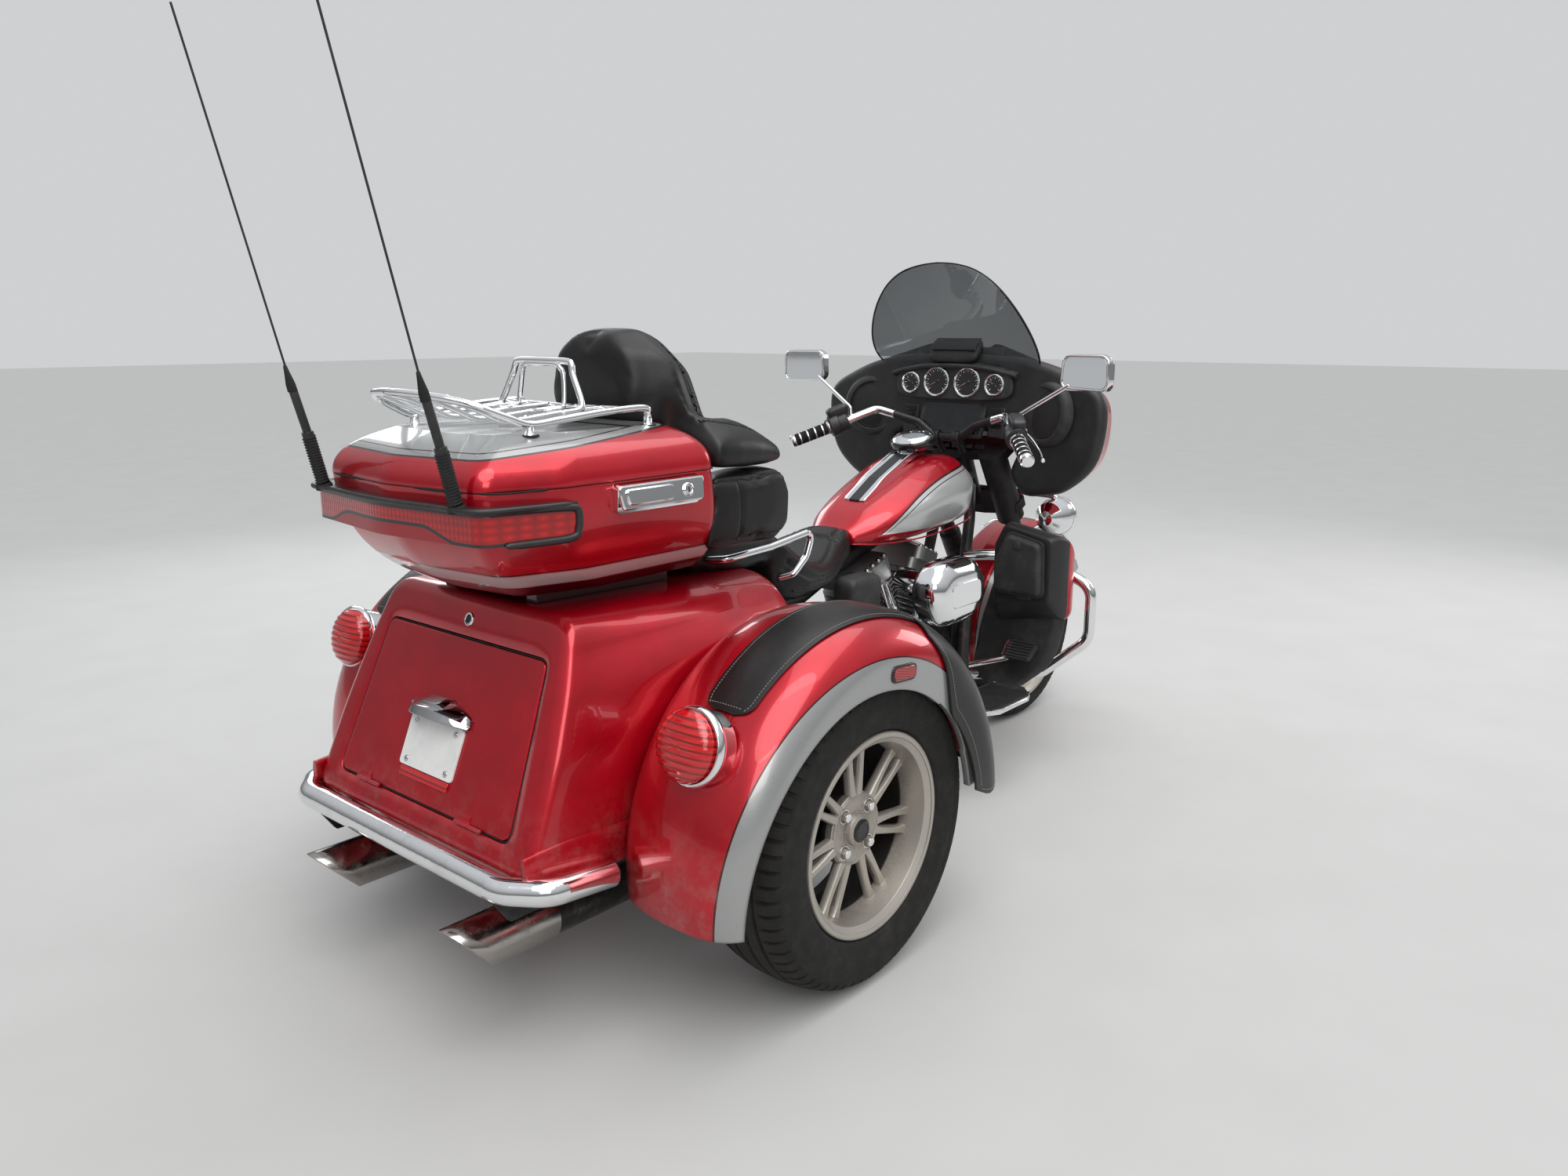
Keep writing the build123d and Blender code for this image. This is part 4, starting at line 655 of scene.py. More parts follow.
class Shape:
    """Gathers the vertices and faces of one piece."""

    def __init__(self):
        self.verts, self.faces = [], []

    def rings(self, rings, close=True, caps=True, loop=False):
        """Joins rings of points into a skin."""
        base, count = len(self.verts), len(rings[0])
        self.verts += [tuple(p) for ring in rings for p in ring]
        faces = []
        for i in range(len(rings) if loop else len(rings) - 1):
            low, high = i * count, ((i + 1) % len(rings)) * count
            for j in range(count if close else count - 1):
                k = (j + 1) % count
                faces.append((low + j, low + k, high + k, high + j))
        if caps and close and not loop:
            faces.append(tuple(range(count))[::-1])
            faces.append(tuple(range((len(rings) - 1) * count, len(rings) * count)))
        self.faces += [tuple(base + i for i in face) for face in faces]

    def lathe(self, centre, axis, profile, segments=48, squash=1.0):
        """Turns (distance along the axis, radius) points, in millimetres, about an axis through centre. A
        profile that stands off the axis at both ends closes into a ring."""
        axis = Vector(axis).normalized()
        first = Vector(UP).cross(axis)
        first = first.normalized() if first.length > 1e-6 else Vector(AHEAD)
        second = axis.cross(first)
        rings = []
        for along, radius in profile:
            middle = Vector(centre) + axis * along * MM
            rings.append([middle + (first * math.cos(a) + second * math.sin(a) * squash) * max(radius, 0.01) * MM
                          for a in (math.tau * i / segments for i in range(segments))])
        self.rings(rings, loop=profile[0][1] > 1.0 and profile[-1][1] > 1.0)

    def tube(self, points, radius, sides=12, loop=False, ends=1.0):
        """A round tube through points; its ends may be narrower."""
        last = len(points) - 1
        side = None
        rings = []
        for i, point in enumerate(points):
            onward = points[(i + 1) % len(points)] if loop else points[min(i + 1, last)]
            run = (onward - points[i - 1 if loop else max(i - 1, 0)]).normalized()
            side = run.orthogonal().normalized() if side is None else side
            side = (side - run * side.dot(run)).normalized()
            other = run.cross(side)
            r = (radius[i] if isinstance(radius, list) else radius) * MM
            if not loop and i in (0, last):
                r *= ends
            rings.append([point + (side * math.cos(a) + other * math.sin(a)) * r
                          for a in (math.tau * k / sides for k in range(sides))])
        self.rings(rings, loop=loop)

    def plate(self, origin, axes, outline, thickness, bevel=1.0):
        """A plate from a flat outline in millimetres, with eased edges. Its axes are right, up and out."""
        right, up, out = (Vector(axis).normalized() for axis in axes)
        levels = [(outline, 0.0), (outline, thickness - bevel), (inset(outline, bevel), thickness)]
        self.rings([[Vector(origin) + (right * x + up * y + out * rise) * MM for x, y in line]
                    for line, rise in levels])

    def make(self, name, body, material, slot, sharp=35.0):
        """Turns what was gathered into a piece that rides on a body."""
        mesh = bpy.data.meshes.new(name)
        mesh.from_pydata(self.verts, [], self.faces)
        mesh.materials.append(MAT[material])
        tidy_mesh(mesh, sharp)
        made = link(name, mesh)
        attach(made, body)
        return made


def tidy_mesh(mesh, sharp):
    """Joins doubled points, turns faces outwards and shades all but the sharp edges smooth."""
    bm = bmesh.new()
    bm.from_mesh(mesh)
    bmesh.ops.remove_doubles(bm, verts=bm.verts, dist=1e-6)
    bmesh.ops.recalc_face_normals(bm, faces=bm.faces)
    limit = math.radians(sharp)
    for edge in bm.edges:
        edge.smooth = len(edge.link_faces) == 2 and edge.calc_face_angle(0.0) < limit
    for face in bm.faces:
        face.smooth = True
    bm.to_mesh(mesh)
    bm.free()


def outward(made, direction):
    """Turns an open skin so that its faces look the way direction says at their middles."""
    votes = sum(1 if f.normal.dot(direction(f.center)) > 0 else -1 for f in made.data.polygons)
    if votes < 0:
        made.data.flip_normals()


def thicken(made, thickness, offset=-1.0):
    """Gives an open skin a wall: inwards with an offset of -1, outwards with 1."""
    thick = made.modifiers.new("thick", "SOLIDIFY")
    thick.thickness = thickness * MM
    thick.offset = offset


def apply_modifiers(made):
    bpy.context.view_layer.update()
    graph = bpy.context.evaluated_depsgraph_get()
    mesh = bpy.data.meshes.new_from_object(made.evaluated_get(graph))
    made.modifiers.clear()
    made.data = mesh


def smooth_faces(made):
    for face in made.data.polygons:
        face.use_smooth = True


# Soft goods

def soft_from(name, node, rounds):
    """A copy of a CAD solid, remeshed to even squares and smoothed."""
    made = link(name, nodes[node].data.copy())
    remesh = made.modifiers.new("remesh", "REMESH")
    remesh.mode = "VOXEL"
    remesh.voxel_size = 8.0 * MM
    smooth = made.modifiers.new("smooth", "SMOOTH")
    smooth.factor = 0.5
    smooth.iterations = rounds
    apply_modifiers(made)
    return made


def inflate(made, cap, frames=20):
    """Cloth with air in it; no point moves further than cap millimetres."""
    rest = [v.co.copy() for v in made.data.vertices]
    cloth = made.modifiers.new("cloth", "CLOTH")
    settings = cloth.settings
    settings.quality = 4
    settings.mass = 0.25
    settings.use_pressure = True
    settings.uniform_pressure_force = 3.0
    settings.effector_weights.gravity = 0.0
    settings.tension_stiffness = settings.compression_stiffness = 12.0
    settings.bending_stiffness = 1.5
    cloth.point_cache.frame_start = 1
    cloth.point_cache.frame_end = frames
    for step in range(1, frames + 1):
        bpy.context.scene.frame_set(step)
    apply_modifiers(made)
    bpy.context.scene.frame_set(1)
    for vertex, start in zip(made.data.vertices, rest):
        move = vertex.co - start
        if move.length > cap * MM:
            vertex.co = start + move.normalized() * cap * MM


def subdivide(made):
    modifier = made.modifiers.new("subdivide", "SUBSURF")
    modifier.levels = modifier.render_levels = 1
    apply_modifiers(made)


def surface_tree(made):
    mesh = made.data
    return BVHTree.FromPolygons([v.co for v in mesh.vertices], [tuple(p.vertices) for p in mesh.polygons])


def on_surface(tree, line, pitch):
    """(place, normal) on a surface at an even pitch in millimetres along a line near it."""
    return [tree.find_nearest(point)[:2] for point in walk(line, pitch * MM)]


def sew(made, lines, width, depth):
    """Draws a surface in along lines, as a seam does."""
    tree = surface_tree(made)
    places = [place for line in lines for place, normal in on_surface(tree, line, 3.0)]
    finder = KDTree(len(places))
    for index, place in enumerate(places):
        finder.insert(place, index)
    finder.balance()
    mesh = made.data
    normals = [v.normal.copy() for v in mesh.vertices]
    for vertex, normal in zip(mesh.vertices, normals):
        share = finder.find(vertex.co)[2] / (width * MM)
        if share < 2.0:
            vertex.co -= normal * depth * MM * math.exp(-share * share * 1.6)
    mesh.update()


def cushion(name, node, body, rounds, cap, seams, seam_size, reshape=None):
    """A stuffed leather copy of a CAD solid, drawn in along its seams. Returns it and its surface."""
    pad = soft_from(name, node, rounds)
    if reshape:
        reshape(pad)
    inflate(pad, cap)
    subdivide(pad)
    sew(pad, seams, *seam_size)
    smooth_faces(pad)
    pad.data.materials.clear()
    pad.data.materials.append(MAT["leather"])
    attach(pad, body)
    return pad, surface_tree(pad)


def stitches(shape, tree, line, offset, pitch=7.0, stitch=4.2, radius=0.55, lift=0.3):
    """A row of thread beside a seam."""
    laid = on_surface(tree, line, pitch)
    for (place, normal), (ahead, _) in zip(laid, laid[1:]):
        run = ahead - place
        if run.length < 1e-5:
            continue
        run.normalize()
        side = run.cross(normal).normalized()
        foot, face = tree.find_nearest(place + side * offset * MM)[:2]
        middle = foot + face * lift * MM
        sunk = face * 0.5 * MM
        shape.tube([middle - run * stitch * 0.5 * MM - sunk, middle - run * stitch * 0.25 * MM,
                    middle + run * stitch * 0.25 * MM, middle + run * stitch * 0.5 * MM - sunk], radius, 5, ends=0.6)


def piping(shape, tree, line, radius, lift):
    """A round cord of leather along a surface."""
    shape.tube([place + normal * lift * MM for place, normal in on_surface(tree, line, 6.0)], radius, 8)


def make_backrest():
    """A dome with two arms; its seams run where the face meets the back, and along each arm."""
    def widen(pad):
        for vert in pad.data.vertices:
            share = min(1.0, max(0.0, (vert.co.z - 1.10) / 0.16))
            vert.co.y *= 1.0 + 0.09 * share
            vert.co.z += 0.013 * share
            vert.co.x -= 0.014 * share

    dome = [(20, -212, 1012), (10, -208, 1110), (-4, -166, 1222), (-10, -80, 1284), (-10, 0, 1292)]
    arm = [(-40, 232, 1118), (30, 246, 1104), (110, 250, 1088), (176, 244, 1052)]
    lines = [path(mirrored(dome)), path(arm, -1), path(arm, 1)]
    pad, tree = cushion("backrest_cushion", "backrest", "box_lid", 34, 9.0, lines, (8.0, 3.5), widen)
    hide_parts("backrest")
    cord, work = Shape(), Shape()
    for line in lines:
        piping(cord, tree, line, 2.2, -0.4)
        stitches(work, tree, line, 6.0)
    cord.make("backrest_piping", "box_lid", "leather", "leather")
    work.make("backrest_stitches", "box_lid", "thread_black", "leather")


def make_arm_pads():
    lines = []
    for sign in SIDES:
        lines += [path([(-50, 286, z), (60, 288, z), (160, 280, z)], sign) for z in (858, 992)]
        lines.append(path([(20, 286, 858), (24, 290, 925), (20, 286, 992)], sign))
    pad, tree = cushion("arm_pad_cushions", "arm_pads", "chassis", 16, 8.0, lines, (7.0, 2.5))
    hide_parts("arm_pads")
    cord = Shape()
    for line in lines:
        piping(cord, tree, line, 2.0, -0.3)
    cord.make("arm_pad_piping", "chassis", "leather", "leather")


SEAT_SEAMS = ([(690, 28, 790), (620, 64, 780), (540, 110, 745), (450, 150, 735), (370, 162, 780), (318, 158, 825)],
              [(660, 96, 745), (560, 150, 712), (450, 196, 702), (360, 210, 722), (290, 204, 760)],
              [(236, 130, 845), (140, 134, 848), (40, 130, 846)])
SEAT_CROSS_SEAMS = ([(606, -84, 772), (600, -40, 775), (598, 0, 776)],
                    [(404, -160, 745), (396, -80, 748), (394, 0, 750)],
                    [(330, -156, 800), (326, 0, 806)], [(130, -130, 848), (130, 0, 850)])
SEAT_RIM = [(690, 60, 724), (640, 100, 704), (560, 146, 684), (450, 194, 676), (360, 208, 676), (300, 202, 688)]


def make_seat():
    lines = [path(seam, sign) for sign in SIDES for seam in SEAT_SEAMS]
    lines += [path(mirrored(seam)) for seam in SEAT_CROSS_SEAMS]
    pad, tree = cushion("seat_cushion", "seat", "chassis", 14, 8.0, lines, (9.0, 4.5))
    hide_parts("seat")
    work, rim = Shape(), Shape()
    for line in lines:
        stitches(work, tree, line, 5.0)
        stitches(work, tree, line, -5.0)
    work.make("seat_stitches", "chassis", "thread_black", "leather")
    for sign in SIDES:
        piping(rim, tree, path(SEAT_RIM, sign), 2.6, 0.2)
    rim.make("seat_piping", "chassis", "leather", "leather")


# The rear fenders' outline as (out from the middle, radius about the wheel)
FENDER_OUTLINE = [(385, 377), (386, 396), (398, 414), (427, 426), (462, 433), (500, 437), (550, 437.5), (592, 435),
                  (630, 426), (656, 412), (675, 393), (687, 372), (692, 350), (692, 320), (692, 286)]
FENDER_PROFILE = [(p.x, p.y) for p in curve([(y, r, 0) for y, r in FENDER_OUTLINE], 6)]


def arch_radius(theta):
    """Where the arch's edge is, as a radius about the wheel, at an angle from the rear."""
    up = ARCH_Z - REAR_AXLE_Z
    along = -math.cos(theta) * ARCH_D + math.sin(theta) * up
    return along + math.sqrt(along * along - ARCH_D ** 2 - up ** 2 + ARCH_R ** 2)


def wheel_point(theta, out, r, sign):
    """A point about a rear wheel, at an angle from the rear."""
    return at(-math.cos(theta) * r, sign * out, REAR_AXLE_Z + math.sin(theta) * r)


def from_wheel(c):
    """The way from the rear axle's line to a place."""
    return Vector((c.x - REAR_AXLE_X * MM, 0, c.z - REAR_AXLE_Z * MM))


def make_fenders():
    shape = Shape()
    steps = 110
    for sign in SIDES:
        rings = []
        for i in range(steps + 1):
            theta = math.radians(-8.0 + 184.0 * i / steps)
            edge = arch_radius(theta)
            kept = []
            for (y0, r0), (y1, r1) in zip(FENDER_PROFILE, FENDER_PROFILE[1:]):
                kept.append(Vector((y0, r0, 0)))
                if y0 > 600 and r1 < edge <= r0:
                    kept.append(Vector((y0 + (y1 - y0) * ((r0 - edge) / (r0 - r1)), edge, 0)))
                    break
            line = evenly(kept, 44)
            lip = line[-1]
            line += [Vector((lip.x - 6, lip.y + 0.6, 0)), Vector((lip.x - 15, lip.y + 1.2, 0))]
            rings.append([wheel_point(theta, p.x, p.y, sign) for p in line])
        shape.rings(rings, close=False, caps=False)
    made = shape.make("fender_shells", "chassis", "paint_arch", "paint", 50.0)
    thicken(made, 4.0)
    outward(made, lambda c: Vector((0, math.copysign(1, c.y), 0)) if abs(c.y) > 0.68 else from_wheel(c))
    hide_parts("rear_fenders")


def leather_sheet(name, rows, thickness, sharp, direction):
    """A leather skin with a thickness. Returns it and its surface."""
    shape = Shape()
    shape.rings(rows, close=False, caps=False)
    made = shape.make(name, "chassis", "cover_leather", "leather", sharp)
    outward(made, direction)
    tree = surface_tree(made)
    thicken(made, thickness, 1.0)
    apply_modifiers(made)
    smooth_faces(made)
    return made, tree


def border_stitches(name, tree, lines, stitch, radius, lift):
    work = Shape()
    for line in lines:
        stitches(work, tree, curve(line, 2), 0.0, 6.5, stitch, radius, lift)
    work.make(name, "chassis", "thread", "leather")


def make_covers():
    """Leather covers that follow the fenders' crowns, with rounded rear ends."""
    profile = [(y, r) for y, r in FENDER_PROFILE if y > 480]
    arc, across = 96, 16

    def crown(out):
        for (y0, r0), (y1, r1) in zip(profile, profile[1:]):
            if y0 <= out <= y1:
                return r0 + (r1 - r0) * (out - y0) / max(y1 - y0, 1e-6)
        return profile[-1][1]

    for sign, side in zip(SIDES, ("right", "left")):
        rows = []
        for i in range(arc + 1):
            share = i / arc
            theta = math.radians(45.0) + (math.radians(124.0) - math.radians(45.0)) * share
            end = 1.0 - math.sqrt(1.0 - max(0.0, 1.0 - i / 5.0) ** 2)
            outer, inner = 606.0 + 34.0 * share - 32.0 * end, 500.0 + 28.0 * end
            row = []
            for t in (j / across for j in range(across + 1)):
                out = inner + (outer - inner) * t
                puff = 2.0 * (1.0 - abs(2 * t - 1) ** 3)
                row.append(wheel_point(theta, out, crown(out) + 1.2 + puff, sign))
            rows.append(row)
        made, tree = leather_sheet("fender_cover_" + side, rows, 3.0, 60.0, from_wheel)
        if sign < 0:
            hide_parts("fender_covers")
        inner_line = [row[1].lerp(row[2], 0.2) for row in rows[2:-1]]
        outer_line = [row[-2].lerp(row[-3], 0.2) for row in rows[2:-1]]
        borders = (inner_line, outer_line, rows[2][1:-1], rows[-2][1:-1])
        border_stitches("cover_stitches_" + side, tree, borders, 4.2, 0.7, 3.2)


def flap_rows(sign, steps, across):
    """The part of a flap that lies on the fender, from its crown to its front."""
    rows = []
    for i in range(steps + 1):
        s = i / steps
        theta = math.radians(112.0 + 56.0 * s)
        inner = 508.0 + 26.0 * s
        flat = [Vector((y, r, 0)) for y, r in FENDER_PROFILE if y >= inner]
        flat = [Vector((inner, flat[0].y, 0))] + flat
        shoulder = next((k for k, p in enumerate(flat) if p.x > 640.0), len(flat) - 1)
        left = length(flat[:shoulder + 1]) + 24.0 + 142.0 * math.sin(min(1.0, s * 1.7) * math.pi / 2)
        line = [flat[0]]
        for a, b in zip(flat, flat[1:]):
            run = (b - a).length
            if run >= left:
                line.append(a.lerp(b, left / run))
                break
            line.append(b)
            left -= run
        row = []
        for k, p in enumerate(evenly(line, across + 1)):
            t = k / across
            lift = 3.4 + 4.0 * s * t + 10.0 * s * s * t
            nx = min(1.0, max(0.0, (p.x - 610.0) / 60.0))
            row.append(wheel_point(theta, p.x + lift * nx, p.y + lift * (1.0 - nx) + 1.0, sign))
        rows.append(row)
    return rows


def make_flaps():
    """Each cover's front flap: it hangs over the fender's front shoulder and side."""
    across = 18
    for sign, side in zip(SIDES, ("right", "left")):
        rows = flap_rows(sign, 30, across)
        # Below the fender it hangs free and swings in a little
        last = rows[-1]
        drift = [(b - a).normalized() for a, b in zip(rows[-2], last)]
        for s in (i / 10 for i in range(1, 11)):
            row = []
            for k, (p, run) in enumerate(zip(last, drift)):
                t = k / across
                reach = (86.0 - 70.0 * (t - 0.45) ** 2 - 26.0 * max(0.0, t - 0.8) / 0.2) * s
                row.append(p + run.lerp(Vector((0.06, 0, -1)), 0.55 * s) * reach * MM)
            rows.append(row)
        made, tree = leather_sheet("fender_flap_" + side, rows, 2.6, 70.0,
                                   lambda c: from_wheel(c) + Vector((0, (c.y - sign * 0.5) * 2, 0)))
        borders = ([row[1].lerp(row[2], 0.3) for row in rows[1:-1]], [row[-2].lerp(row[-3], 0.2) for row in rows[1:-1]],
                   rows[1][1:-1], rows[-2][1:-1])
        border_stitches("flap_stitches_" + side, tree, borders, 4.4, 0.75, 3.0)
        binding = Shape()
        binding.tube([row[-1] for row in rows] + rows[-1][-2::-1], 2.6, 8, ends=0.6)
        binding.make("flap_binding_" + side, "chassis", "leather", "leather", 70.0)


TYRE_SHOULDER = (-0.93, -0.84, -0.76, -0.66)  # as shares of half the width, as the grooves are
TYRE_GROOVES = (-0.50, -0.20, 0.20, 0.50)


def make_tyre(name, node, body, wheel, seat, width, y, material, blocks):
    """A road tyre with ribs, grooves and shoulder blocks. The wheel is its distance, height and radius."""
    d, z, outer = wheel
    half, deep, edge = width / 2, 6.5, 4.0

    def crown(w):
        share = abs(w) / half
        fall = 10.0 * (share / 0.76) ** 2
        if share > 0.76:
            fall += 170.0 * (share - 0.76) ** 2
        return outer - fall

    marks = [(s * half, 0.0, True) for s in TYRE_SHOULDER]
    for middle in TYRE_GROOVES:
        marks += [(middle * half - edge - 1, 0.0, False), (middle * half - edge + 0.6, deep, False),
                  (middle * half + edge - 0.6, deep, False), (middle * half + edge + 1, 0.0, False)]
    marks += [(-s * half, 0.0, True) for s in reversed(TYRE_SHOULDER)]
    tread = [(w, crown(w) - cut, shoulder) for w, cut, shoulder in marks]
    bead, belly = seat + 16, (outer + seat) / 2
    wall = [(half * 0.985, outer - 30), (half * 0.995, outer - 42), (half * 0.985, outer - 46), (half, belly + 8),
            (half, belly), (half * 0.99, belly - 12), (half * 0.975, belly - 16), (half * 0.965, bead + 10),
            (half * 0.92, bead + 3), (half * 0.86, bead), (half * 0.86, seat + 1)]
    line = [(-w, r, False) for w, r in reversed(wall)] + tread + [(w, r, False) for w, r in wall]
    shape = Shape()
    rings = []
    for block in range(blocks):
        for share, cut in ((0.0, 5.5), (0.20, 5.5), (0.25, 0.0), (0.95, 0.0)):
            ring = []
            for w, r, shoulder in line:
                angle = math.tau * (block + share + (0.35 if w > 0 else 0.0)) / blocks
                reach = r - (cut if shoulder else 0.0)
                ring.append(at(d - math.cos(angle) * reach, y + w, z + math.sin(angle) * reach))
            rings.append(ring)
    shape.rings(rings, close=False, caps=False, loop=True)
    made = shape.make(name, body, material, "tyre", 40.0)
    outward(made, lambda c: Vector((c.x - (REAR_AXLE_X + d) * MM, (c.y - y * MM) * 0.4, c.z - z * MM)))
    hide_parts(node)


def make_tyres():
    rear = (0.0, REAR_AXLE_Z, REAR_TYRE_R)
    for sign, side in zip(SIDES, ("right", "left")):
        make_tyre("tyre_" + side, "rear_tyre_" + side, "rear_wheel_" + side, rear, 194.0, 205.0, sign * REAR_WHEEL_Y,
                  "rear_rubber", 66)
    front = (FRONT_AXLE_D, FRONT_AXLE_Z, FRONT_TYRE_R)
    make_tyre("tyre_front", "front_tyre", "front_wheel", front, 241.0, 130.0, 0.0, "front_rubber", 60)


def make_lamps():
    """Round ribbed tail lamps with chrome bezels, and the side markers."""
    lenses, bezels, markers, rims = Shape(), Shape(), Shape(), Shape()
    back, right = facing(-0.97, 0.0, 0.24), Vector((0, 1, 0))
    up = right.cross(back).normalized()
    steps = 26
    for sign in SIDES:
        centre = at(-392, sign * 552, 592)
        rings = []
        for k in range(steps + 1):
            share = k / steps
            r = 66.0 * math.cos(share * math.pi / 2) ** 0.7 if share < 1 else 0.3
            rise = 3.0 + 36.0 * math.sin(share * math.pi / 2) ** 0.8
            ring = []
            for a in (math.tau * j / 72 for j in range(72)):
                x, y = math.cos(a) * r, math.sin(a) * r
                rib = 1.5 * math.cos(y * math.tau / 13.0) * min(1.0, r / 18.0) * (0.3 + 0.7 * share if k < 2 else 1.0)
                ring.append(centre + (right * (x - sign * 3.0) + up * y + back * (rise + rib)) * MM)
            rings.append(ring)
        lenses.rings(rings)
        bezels.lathe(centre + right * sign * 4.0 * MM, back,
                     [(-12, 60), (-12, 66), (-8, 70), (0, 71.5), (6, 70.5), (10, 67.5), (10, 64), (4, 62), (2, 60)], 72)
        bezels.lathe(centre, back, [(-46, 58), (-46, 62), (-12, 66), (-12, 60)], 56)
        marker = at(37, sign * 692, 652)
        out, tilt = Vector((0, sign, 0)), facing(1, 0, -0.08)
        axes = (tilt, out.cross(tilt), out)
        rims.plate(marker, axes, box(40, 17, 15), 3.5, 1.2)
        markers.plate(marker + out * 2.5 * MM, axes, box(35, 13, 12), 3.4, 1.4)
    lamp = lenses.make("tail_lamp_lenses", "chassis", "lens", "lens", 60.0)
    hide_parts("fender_lamps")
    bezels.make("tail_lamp_bezels", "chassis", "chrome", "chrome")
    markers.make("side_markers", "chassis", "marker", "lens")
    rims.make("side_marker_frames", "chassis", "gloss_black", "lens")


# The rear face leans forward: its axes are right, up the face and out of it
LEAN = math.radians(22.7)
FACE = (Vector(RIGHT), Vector((math.sin(LEAN), 0, math.cos(LEAN))), Vector((-math.cos(LEAN), 0, math.sin(LEAN))))
FACE_OUT = FACE[2]


def on_face(right, up, out):
    """A point on the rear face, from millimetres along its axes."""
    d = -602.0 + up * math.sin(LEAN) - out * math.cos(LEAN)
    z = 372.0 + up * math.cos(LEAN) + out * math.sin(LEAN)
    return at(d, -right, z)


def make_plate():
    """The blank number plate with its screws, reflector and light hood, the trunk's lock and the door's seal."""
    plate, screws, reflector, hood = Shape(), Shape(), Shape(), Shape()
    plate.plate(on_face(0, 139, 0.4), FACE, box(88, 51, 9), 4.4, 0.8)
    made = plate.make("plate_blank", "trunk_door", "plate_face", "plate")
    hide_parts("number_plate")
    for x in (-66, 66):
        for y in (-38, 38):
            screws.lathe(on_face(x, 139 + y, 4.6), FACE_OUT, [(0, 6.5), (1.6, 6.2), (3.0, 4.5), (3.4, 0.2)], 20)
    screws.make("plate_screws", "trunk_door", "satin_chrome", "plate")
    reflector.plate(on_face(0, 77, 0.3), FACE, box(80, 9, 3), 3.7, 0.8)
    reflector.make("plate_reflector", "trunk_door", "lens", "lens")
    # The hood: a winged shelf with a raised middle
    rings = []
    for i in range(29):
        t = -1 + 2 * i / 28
        wing = 1 - abs(t) ** 2.6
        deep, rise = 9 + 37 * wing, 5 + 13 * wing
        ring = [(193, 0.5), (191, deep * 0.8), (192, deep - 1), (193.5, deep), (192 + rise, deep - 3),
                (194 + rise, deep - 5), (203 + rise * 1.5, 7), (205 + rise * 1.5, 0.5)]
        rings.append([on_face(98 * t, u, o) for u, o in ring])
    hood.rings(rings)
    rings = []
    for share, ease in ((0.0, 4.0), (0.12, 0.0), (0.5, 0.0), (0.88, 0.0), (1.0, 4.0)):
        ring = [(205, 36 - ease), (222 - ease, 33 - ease), (236 - ease, 14), (238 - ease, 0.5), (205, 0.5)]
        rings.append([on_face(-36 + 72 * share, u, o) for u, o in ring])
    hood.rings(rings)
    hood.make("plate_hood", "trunk_door", "dark_chrome", "chrome", 30.0)
    lock, key, seal = Shape(), Shape(), Shape()
    lock.lathe(on_face(0, 395, 0), FACE_OUT, [(-3, 14), (0.5, 14), (2.5, 12.6), (2.8, 9.4), (1.0, 8.6), (1.0, 0.2)], 40)
    lock.make("trunk_lock_ring", "chassis", "chrome", "chrome")
    key.lathe(on_face(0, 395, 0.8), FACE_OUT, [(0, 8.4), (1.2, 8.2), (1.4, 0.2)], 32)
    key.plate(on_face(0, 395, 1.8), FACE, [(-1, -5), (1, -5), (1, 5), (-1, 5)], 0.7, 0.2)
    key.make("trunk_lock_barrel", "chassis", "gloss_black", "black_plastic")
    gap = rounded([(-286, 29), (286, 29), (260, 359), (-260, 359)], 20, 6)
    seal.tube([on_face(x, y, -3.5) for x, y in gap], 1.7, 8, loop=True)
    seal.make("trunk_seal", "chassis", "pad_rubber", "rubber")


